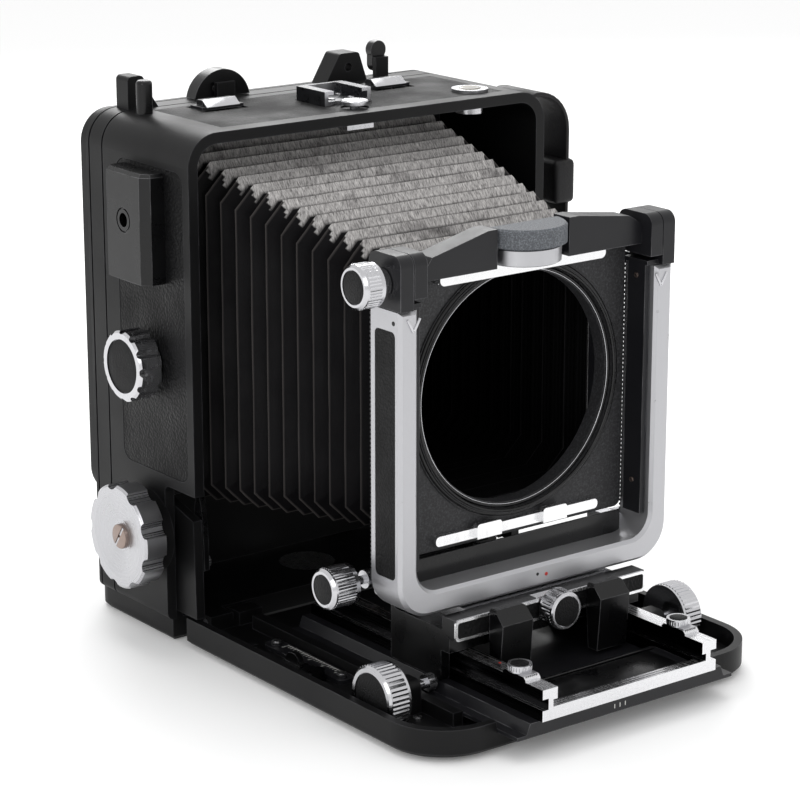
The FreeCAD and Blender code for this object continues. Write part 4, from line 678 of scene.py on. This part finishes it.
def leather_inlay(name, body, centre, axis, outward, radius, material):
    """A slightly crowned disc of leatherette, glued into a knob's hollow face."""
    deselect()
    bpy.ops.mesh.primitive_cylinder_add(
        vertices=64, radius=radius, depth=0.0005, location=(0.0, 0.0, 0.00025),
    )
    disc = bpy.context.object
    bpy.ops.object.transform_apply(location=True)
    bpy.ops.object.mode_set(mode="EDIT")
    bpy.ops.mesh.select_all(action="DESELECT")
    bpy.ops.mesh.select_mode(type="FACE")
    bpy.ops.object.mode_set(mode="OBJECT")
    for face in disc.data.polygons:
        face.select = face.normal.z > 0.9
    bpy.ops.object.mode_set(mode="EDIT")
    for ring in range(4):
        bpy.ops.mesh.inset(thickness=radius * 0.18, depth=0.00018 / (ring + 1))
    bpy.ops.object.mode_set(mode="OBJECT")
    bpy.ops.object.shade_smooth_by_angle(angle=math.radians(50))
    if outward < 0:
        disc.rotation_euler = {"X": (0.0, -math.pi / 2, 0.0), "Y": (math.pi / 2, 0.0, 0.0)}[axis]
    else:
        disc.rotation_euler = {"X": (0.0, math.pi / 2, 0.0), "Z": (0.0, 0.0, 0.0)}[axis]
    disc.location = centre
    return fitted(disc, name, material, body)


knob_leather = leatherette("fine knob leatherette", "#1B1B1D", 0.0005, 0.0002, 0.5)
focus_low, focus_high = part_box("focus_knobs")
focus_centre = ((focus_low[1] + focus_high[1]) / 2, (focus_low[2] + focus_high[2]) / 2)
for side_name, side in (("left", -1), ("right", 1)):
    spot = (side * 0.0675, *focus_centre)
    knurled_rim("focus_knurl_" + side_name, "focus_knobs", spot, "X", 0.0117, 0.0068, 46, 0.0004, nickel)
    leather_inlay(
        "focus_inlay_" + side_name, "focus_knobs", (
            side * 0.0712, *focus_centre,
        ), "X", side, 0.0089, knob_leather,
    )
mid_low, mid_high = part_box("mid_knob")
mid_centre = ((mid_low[1] + mid_high[1]) / 2, (mid_low[2] + mid_high[2]) / 2)
leather_inlay(
    "mid_knob_inlay", "mid_knob", (mid_low[0] + 0.0009, *mid_centre), "X", -1, 0.0098, knob_leather,
)
tilt_low, tilt_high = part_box("tilt_knob")
tilt_centre = ((tilt_low[1] + tilt_high[1]) / 2, (tilt_low[2] + tilt_high[2]) / 2)
leather_inlay(
    "tilt_knob_inlay", "tilt_knob", (tilt_low[0] + 0.0007, *tilt_centre), "X", -1, 0.0057, knob_leather,
)
knurled_rim(
    "tilt_knurl", "tilt_knob", (tilt_low[0] + 0.0040, *tilt_centre), "X", 0.0078, 0.0048, 44, 0.0003,
    nickel,
)
rise_low, rise_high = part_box("rise_shaft")
rise_centre = ((rise_low[1] + rise_high[1]) / 2, (rise_low[2] + rise_high[2]) / 2)
leather_inlay(
    "rise_knob_inlay", "rise_shaft", (rise_low[0] + 0.0007, *rise_centre), "X", -1, 0.0052, knob_leather,
)
knurled_rim(
    "rise_knurl", "rise_shaft", (rise_low[0] + 0.0055, *rise_centre), "X", 0.0074, 0.0076, 42, 0.0003,
    nickel,
)
centre_low, centre_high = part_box("centre_knob")
centre_spot = (
    (centre_low[0] + centre_high[0]) / 2, centre_low[1] + 0.0006, (centre_low[2] + centre_high[2]) / 2,
)
leather_inlay("centre_knob_inlay", "centre_knob", centre_spot, "Y", -1, 0.0054, knob_leather)
knurled_rim(
    "centre_knurl", "centre_knob", along(centre_spot, "Y", 0.0031), "Y", 0.0070, 0.0044, 40, 0.0003, nickel,
)
for side_name in ("left", "right"):
    screw_low, screw_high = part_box("stop_screw_" + side_name)
    screw_x, screw_y = (screw_low[0] + screw_high[0]) / 2, (screw_low[1] + screw_high[1]) / 2
    screw_body = "stop_screw_" + side_name
    leather_inlay(
        "stop_inlay_" + side_name, screw_body, (screw_x, screw_y, screw_high[2] - 0.0004), "Z", 1, 0.0031,
        knob_leather,
    )
    knurled_rim(
        "stop_knurl_" + side_name, screw_body, (screw_x, screw_y, screw_high[2] - 0.0012), "Z", 0.0043,
        0.0014, 30, 0.0002, nickel,
    )


def turned_face(name, colour, knob):
    """Lathe-turned aluminium: rings 0.35 mm apart round the knob's own middle."""
    low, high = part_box(knob)
    material, tree, shader = finish(name, colour, 1.0, 0.24)
    centred = add(
        tree, "ShaderNodeMapping",
        {"Location": (0.0, -(low[1] + high[1]) / 2, -(low[2] + high[2]) / 2), "Scale": (0.0, 1.0, 1.0)},
        {"Vector": place(tree)},
    )
    reach = add(
        tree, "ShaderNodeVectorMath", None, {"Vector": centred.outputs["Vector"]}, operation="LENGTH",
    )
    rings = add(
        tree, "ShaderNodeTexNoise", {"Scale": 2800.0, "Detail": 3.0}, {"W": reach.outputs["Value"]},
        noise_dimensions="1D",
    )
    tree.links.new(span(tree, rings.outputs["Fac"], 0.3, 0.7, 0.18, 0.42), shader.inputs["Roughness"])
    press(tree, shader, rings.outputs["Fac"], 0.35, 0.00008)
    return material


copper_steel = brushed_steel("burnished screw steel", "#9A8A82", 0.35, (600.0, 600.0, 3000.0))
for side_name, side in (("left", -1), ("right", 1)):
    knob_name = "low_knob_" + side_name
    wear_finish(turned_face("turned aluminium " + side_name, "#BEBEC1", knob_name), knob_name)
    low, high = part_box(knob_name)
    middle = ((low[1] + high[1]) / 2, (low[2] + high[2]) / 2)
    outer_x = high[0] if side > 0 else low[0]
    deselect()
    bpy.ops.mesh.primitive_cylinder_add(
        vertices=48, radius=0.0046, depth=0.0016, location=(outer_x - side * 0.0013, *middle),
        rotation=turned_to("X"),
    )
    head = bpy.context.object
    modify(head, "BEVEL", width=0.0003, segments=2, limit_method="ANGLE")
    deselect()
    bpy.ops.mesh.primitive_cube_add(
        size=1.0, location=(outer_x - side * 0.0005, *middle), rotation=(0.6, 0.0, 0.0),
        scale=(0.0012, 0.0012, 0.012),
    )
    saw = bpy.context.object
    modify(head, "BOOLEAN", object=saw, operation="DIFFERENCE", solver="EXACT")
    bpy.data.objects.remove(saw)
    head.select_set(True)
    bpy.ops.object.shade_smooth_by_angle(angle=math.radians(40))
    fitted(head, "lock_screw_" + side_name, copper_steel, knob_name)
    deselect()
    bpy.ops.mesh.primitive_torus_add(
        major_segments=96, minor_segments=12, major_radius=0.0150, minor_radius=0.0007,
        location=(side * 0.0856, *middle), rotation=turned_to("X"),
    )
    fitted(bpy.context.object, "lock_collar_" + side_name, nickel, knob_name)

# Roof fittings ------------------------------------------------------------------------------------
# The latches are black pressings with a sloped, nickel-plated front; the shoe is folded steel with
# bright edges; the catch's hook hangs inside the roof.

wear_finish(satin_charcoal, "top_latch_left", "top_latch_right")


def front_bright_steel(name, body_colour, front_colour):
    """Dark plated steel, coloured bright on the faces that point to the front: told apart by the way they
    face.
    """
    material, tree, shader = finish(name, body_colour, 1.0, 0.3)
    normal = add(tree, "ShaderNodeNewGeometry").outputs["Normal"]
    facing = add(tree, "ShaderNodeSeparateXYZ", None, {"Vector": normal}).outputs["Y"]
    # Lighter on the faces whose normal points towards -Y, darker elsewhere.
    front = span(tree, facing, -0.6, -0.9, 0.0, 1.0)
    stain(tree, shader, front, body_colour, front_colour)
    haze = noise(tree, place(tree), 300.0, 4.0)
    dull(tree, shader, haze, 0.2, 0.42)
    press(tree, shader, haze, 0.08, 0.00006)
    return material


wear_finish(front_bright_steel("two-tone shoe steel", "#4C4D50", "#C4C4C7"), "accessory_shoe")


def bevelled_bar(name, body, centre, size, turn, bevel, material):
    """A small plate or block with softened edges, fast on a body."""
    deselect()
    bpy.ops.mesh.primitive_cube_add(size=1.0, location=centre, rotation=turn)
    bar = bpy.context.object
    bar.scale = size
    bpy.ops.object.transform_apply(location=False, rotation=False, scale=True)
    modify(bar, "BEVEL", width=bevel, segments=3, limit_method="NONE")
    bpy.ops.object.shade_smooth_by_angle(angle=math.radians(35))
    return fitted(bar, name, material, body)


for side_name in ("left", "right"):
    latch = "top_latch_" + side_name
    low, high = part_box(latch)
    x = (low[0] + high[0]) / 2
    bevelled_bar(
        latch + "_front", latch, (x, low[1] + 0.0014, high[2] - 0.0011), (0.0146, 0.0042, 0.0006),
        (math.radians(38), 0.0, 0.0), 0.00025, nickel,
    )

# Front standard trim ------------------------------------------------------------------------------
# A nickel V marks the upright position of each clamp, a red dot and a pinhole mark the middle of
# the sill, and the opening is finished with a gloss ring that has a thin bright inner edge.

red_dot, red_tree, red_shader = finish("red marking enamel", "#B3261E", 0.0, 0.35, Coat_Weight=0.3)
red_mottle = noise(red_tree, place(red_tree), 800.0, 2.0)
dull(red_tree, red_shader, red_mottle, 0.3, 0.45)
white_fill, white_tree, white_shader = finish("white engraving paint", "#D9D9D6", 0.0, 0.6)
white_mottle = noise(white_tree, place(white_tree), 900.0, 3.0)
stain(white_tree, white_shader, white_mottle, "#B9B9B5", "#ECECE8")
black_fill, black_tree, black_shader = finish("black engraving paint", "#161616", 0.0, 0.6)
black_mottle = noise(black_tree, place(black_tree), 900.0, 3.0)
dull(black_tree, black_shader, black_mottle, 0.5, 0.7)


def small_disc(name, body, centre, axis, radius, depth, material):
    """A dot, stud or screw head with a softened rim, standing on a face."""
    deselect()
    bpy.ops.mesh.primitive_cylinder_add(
        vertices=32, radius=radius, depth=depth, location=centre, rotation=turned_to(axis),
    )
    dot = bpy.context.object
    modify(dot, "BEVEL", width=depth * 0.3, segments=2, limit_method="ANGLE")
    bpy.ops.object.shade_smooth_by_angle(angle=math.radians(40))
    return fitted(dot, name, material, body)


frame_low, frame_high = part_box("standard_frame")
leg_middle, mark_height, mark_lean = 0.0553, 0.1412, math.radians(29)
small_disc(
    "sill_red_dot", "standard", (0.004, frame_low[1], 0.0418), "Y", 0.0007, 0.0002, red_dot,
)
small_disc(
    "sill_pinhole", "standard", (0.0, frame_low[1], 0.0425), "Y", 0.0006, 0.0002, black_fill,
)
for side_name, side in (("left", -1), ("right", 1)):
    small_disc(
        "leg_pin_" + side_name, "standard", (side * 0.0590, -0.1372, frame_high[2] - 0.0001), "Z", 0.0008,
        0.0004, copper_steel,
    )
    small_disc(
        "leg_screw_" + side_name, "standard", (side * 0.0610, -0.1365, 0.1420), "X", 0.0008, 0.0002,
        black_fill,
    )
    for arm, lean in (("inner", 1), ("outer", -1)):
        bevelled_bar(
            "clamp_mark_" + side_name + "_" + arm, "standard",
            (
                side * leg_middle + lean * 0.00135, frame_low[1] - 0.0001, mark_height,
            ), (0.0009, 0.0005, 0.0052),
            (0.0, lean * mark_lean, 0.0), 0.0001, nickel,
        )

panel_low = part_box("lens_panel")[0]
opening_height = 0.108
for ring_name, radius, thick, y, material in (
    ("opening_outer_ring", 0.0455, 0.0009, panel_low[1] + 0.0012, gloss_black),
    ("opening_lip_ring", 0.0442, 0.0006, panel_low[1] + 0.0002, gloss_black),
    ("opening_step_ring", 0.0428, 0.0007, panel_low[1] + 0.0020, gloss_black),
    ("opening_bright_ring", 0.0421, 0.00016, panel_low[1] + 0.0016, nickel),
):
    deselect()
    bpy.ops.mesh.primitive_torus_add(
        major_segments=160, minor_segments=12, major_radius=radius, minor_radius=thick,
        location=(0.0, y, opening_height), rotation=(math.pi / 2, 0.0, 0.0),
    )
    bpy.ops.object.shade_smooth()
    fitted(
        bpy.context.object, ring_name, material, "lens_frame",
    )

# The lock slider has a crinkled top and a bright curved front, so a nickel band faces its curve.
lock_low, lock_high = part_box("lens_lock")
deselect()
bpy.ops.mesh.primitive_cylinder_add(
    vertices=96, radius=0.0134, depth=0.0052, end_fill_type="NOTHING",
    location=(0.0, lock_high[1], lock_low[2] + 0.0029),
)
band = bpy.context.object
bpy.ops.object.transform_apply(location=True)
bpy.ops.object.mode_set(mode="EDIT")
bpy.ops.mesh.select_all(action="SELECT")
bpy.ops.mesh.bisect(plane_co=(0.0, lock_high[1] - 0.0002, 0.0), plane_no=(0.0, 1.0, 0.0), clear_outer=True)
bpy.ops.object.mode_set(mode="OBJECT")
modify(band, "SOLIDIFY", thickness=0.0003, offset=1.0)
bpy.ops.object.shade_smooth_by_angle(angle=math.radians(40))
fitted(band, "lock_front_band", satin_nickel, "lens_lock")

# A black apron on the sliding plate closes the gap between the lens panel and the sill.
bevelled_bar(
    "riser_apron", "riser", (0.0, -0.1287, 0.0500), (0.0960, 0.0010, 0.0086), (0.0, 0.0, 0.0), 0.0002,
    gloss_black,
)

# Hinge tubes under the lower bar's tabs, on which the bar swings up to free a lens board.
for side_name, side in (("left", -1), ("right", 1)):
    small_disc(
        "bar_hinge_" + side_name, "lens_frame", (side * 0.0255, panel_low[1] + 0.0010, 0.0583), "X", 0.0011,
        0.0105, gloss_black,
    )

# Bed and track ------------------------------------------------------------------------------------
# The rails are nickel on top and blacked inside; engraved lines are filled with paint. The distance
# plate has white lines, and the rails' tops black ones. Marks are plain lines and dots.


def rail_plate():
    """Nickel on the faces that are ground after plating, black in the channels between them."""
    material, tree, shader = finish("ground nickel rail", "#E4E4E6", 1.0, 0.3)
    normal = add(tree, "ShaderNodeNewGeometry").outputs["Normal"]
    parts = add(tree, "ShaderNodeSeparateXYZ", None, {"Vector": normal})
    sideways = add(tree, "ShaderNodeMath", None, {0: parts.outputs["X"]}, operation="ABSOLUTE")
    blacked = span(tree, sideways.outputs[0], 0.6, 0.9, 0.0, 1.0)
    stain(tree, shader, blacked, "#E4E4E6", "#0C0C0E")
    where = add(tree, "ShaderNodeMapping", {"Scale": (1500.0, 60.0, 1500.0)}, {"Vector": place(tree)})
    ground = noise(tree, where.outputs["Vector"], 1.0, 4.0)
    dull(tree, shader, ground, 0.14, 0.34)
    press(tree, shader, ground, 0.03, 0.00003)
    return material


wear_finish(rail_plate(), "track_rails")


def engraved_lines(name, body, first, size, step, count, material):
    """A run of equal paint-filled lines: one low block repeated at an even step."""
    deselect()
    bpy.ops.mesh.primitive_cube_add(size=1.0, location=first)
    line = bpy.context.object
    line.scale = size
    bpy.ops.object.transform_apply(location=False, rotation=False, scale=True)
    if count > 1:
        modify(
            line, "ARRAY", count=count, use_relative_offset=False, use_constant_offset=True,
            constant_offset_displace=step,
        )
    return fitted(line, name, material, body)


plate_low, plate_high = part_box("focus_scale")
plate_top = plate_low[2] + 0.0016
engraved_lines(
    "plate_short_lines", "bed", (-0.0562, -0.098, plate_top), (0.0014, 0.0002, 0.0001), (0.0, 0.0016, 0.0),
    21, white_fill,
)
engraved_lines(
    "plate_long_lines", "bed", (-0.0569, -0.098, plate_top), (0.0028, 0.00028, 0.0001), (0.0, 0.008, 0.0),
    5, white_fill,
)
engraved_lines(
    "plate_edge_line", "bed", (-0.0553, -0.082, plate_top), (0.0002, 0.033, 0.0001), (0.0, 0.0, 0.0), 1,
    white_fill,
)
rail_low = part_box("track_rails")[0]
rail_top = 0.024
engraved_lines(
    "rail_short_lines", "track", (-0.0381, -0.168, rail_top), (0.0018, 0.0002, 0.0001), (0.0, 0.0022, 0.0),
    8, black_fill,
)
engraved_lines(
    "rail_long_lines", "track", (-0.0376, -0.1669, rail_top), (0.0028, 0.00025, 0.0001), (0.0, 0.0055, 0.0),
    3, black_fill,
)
small_disc("rail_red_dot", "track", (-0.0346, -0.1615, rail_top), "Z", 0.0005, 0.0001, red_dot)
engraved_lines(
    "lip_hairlines", "track", (0.0, rail_low[1] + 0.0013, 0.0172), (0.064, 0.0002, 0.0001),
    (0.0, 0.0014, 0.0), 2, black_fill,
)
engraved_lines(
    "front_marks", "track", (-0.006, rail_low[1] + 0.0015, 0.0098), (0.0003, 0.0001, 0.0016),
    (0.0024, 0.0, 0.0), 3, white_fill,
)
for side_name, side in (("left", -1), ("right", 1)):
    engraved_lines(
        "stop_hatch_" + side_name, "track", (side * 0.03625 - 0.0022, -0.1795, rail_top + 0.0016),
        (0.0003, 0.0022, 0.0001), (0.0009, 0.0, 0.0), 6, black_fill,
    )
    bevelled_bar(
        "stop_tongue_" + side_name, "track", (side * 0.0362, -0.1782, rail_top + 0.00175),
        (0.0058, 0.0036, 0.0004), (0.0, 0.0, 0.0), 0.00015, satin_nickel,
    )
plate_box_low, plate_box_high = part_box("front_plate")
for ridge, y in (("front", plate_box_low[1] + 0.0011), ("rear", plate_box_high[1] - 0.0011)):
    bevelled_bar(
        "nameless_plate_ridge_" + ridge, "track", (0.0, y, plate_box_high[2] + 0.0004),
        (0.062, 0.0014, 0.0012), (0.0, 0.0, 0.0), 0.0003, gloss_black,
    )
bevelled_bar(
    "blank_plate", "track", (0.0, (plate_box_low[1] + plate_box_high[1]) / 2, plate_box_high[2] + 0.0002),
    (0.056, 0.0150, 0.0006), (0.0, 0.0, 0.0), 0.0002, gloss_black,
)

# Screws ------------------------------------------------------------------------------------------
# Small cheese-head screws hold the distance plate, the guide rails, the shoe and the lever plates.


def slotted_screw(name, body, centre, axis, radius, material):
    """A cheese-head screw: a turned head with a slot sawn across it."""
    deselect()
    bpy.ops.mesh.primitive_cylinder_add(vertices=24, radius=radius, depth=radius * 0.7)
    head = bpy.context.object
    modify(head, "BEVEL", width=radius * 0.12, segments=2, limit_method="ANGLE")
    for end in (1, -1):
        deselect()
        bpy.ops.mesh.primitive_cube_add(
            size=1.0, scale=(radius * 0.26, radius * 3.0, radius * 0.9), rotation=(0.0, 0.0, 0.7),
            location=(0.0, 0.0, end * radius * 0.45),
        )
        saw = bpy.context.object
        modify(head, "BOOLEAN", object=saw, operation="DIFFERENCE", solver="EXACT")
        bpy.data.objects.remove(saw)
    head.rotation_euler = turned_to(axis)
    head.location = centre
    settle(head, name, material)
    bpy.ops.object.shade_smooth_by_angle(angle=math.radians(40))
    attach(head, body)
    return head


for index, y in enumerate((-0.102, -0.062)):
    slotted_screw("plate_screw_%d" % index, "bed", (-0.0579, y, plate_high[2]), "Z", 0.0018, pin_steel)
shoe_low, shoe_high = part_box("accessory_shoe")
for index, (dx, dy) in enumerate(((-0.0045, 0.004), (0.0045, 0.004), (-0.0045, 0.012), (0.0045, 0.012))):
    centre = ((shoe_low[0] + shoe_high[0]) / 2 + dx, shoe_low[1] + dy, shoe_low[2] + 0.0020)
    slotted_screw("shoe_screw_%d" % index, "housing", centre, "Z", 0.0013, pin_steel)
for index, z in enumerate((0.066, 0.142)):
    slotted_screw("rail_screw_%d" % index, "riser", (0.0504, -0.1325, z), "X", 0.0010, copper_steel)
for index, (x, y) in enumerate(((-0.058, -0.146), (-0.068, -0.060), (0.068, -0.060), (0.058, -0.106))):
    slotted_screw("bed_screw_%d" % index, "bed", (x, y, 0.0047), "Z", 0.0016, pin_steel)

# Floor, light and camera ---------------------------------------------------------------------------
# The camera stands on a seamless white sweep under a large soft light, with a second one behind it
# that rakes the roof and the folds, and a weaker fill from the left.

deselect()
bpy.ops.mesh.primitive_plane_add(size=40.0, location=(0.0, 0.0, -0.0001))
floor_paper, paper_tree, paper_shader = finish(
    "matt white paper", "#FAFAFA", 0.0, 0.75, Emission_Strength=0.08,
)
fibre = noise(paper_tree, place(paper_tree), 700.0, 3.0)
press(paper_tree, paper_shader, fibre, 0.05, 0.0001)
settle(bpy.context.object, "floor_sweep", floor_paper)

world = bpy.data.worlds.new("white studio")
world.use_nodes = True
world.node_tree.nodes["Background"].inputs["Color"].default_value = (1.0, 1.0, 1.0, 1.0)
world.node_tree.nodes["Background"].inputs["Strength"].default_value = 0.9
bpy.context.scene.world = world


def softbox(name, where, aim, width, height, watts):
    """A rectangular soft light pointed at a place."""
    deselect()
    bpy.ops.object.light_add(type="AREA", location=where)
    lamp = bpy.context.object
    lamp.name = name
    lamp.data.shape = "RECTANGLE"
    lamp.data.size = width
    lamp.data.size_y = height
    lamp.data.energy = watts
    lamp.rotation_euler = (Vector(aim) - Vector(where)).to_track_quat("-Z", "Y").to_euler()


softbox("light_over", (0.1, 0.15, 1.2), (0.0, -0.05, 0.1), 0.9, 0.7, 4.0)
softbox("light_behind", (0.5, 0.9, 0.7), (0.0, -0.05, 0.12), 0.7, 0.5, 5.0)
softbox("light_left", (-1.1, -0.6, 0.6), (0.0, -0.05, 0.1), 0.5, 0.5, 2.0)

bpy.context.scene.view_settings.view_transform = "Standard"
bpy.ops.object.camera_add()
eye = bpy.context.object
turn, lift, away = math.radians(-37.4), math.radians(15.83), 1.045
aim = Vector((0.0117, -0.045, 0.08275))
looking = Vector((-math.sin(turn) * math.cos(lift), math.cos(turn) * math.cos(lift), -math.sin(lift)))
eye.location = aim - away * looking
eye.rotation_euler = looking.to_track_quat("-Z", "Y").to_euler()
eye.data.sensor_width = 36.0
eye.data.lens = 124.9
bpy.context.scene.camera = eye
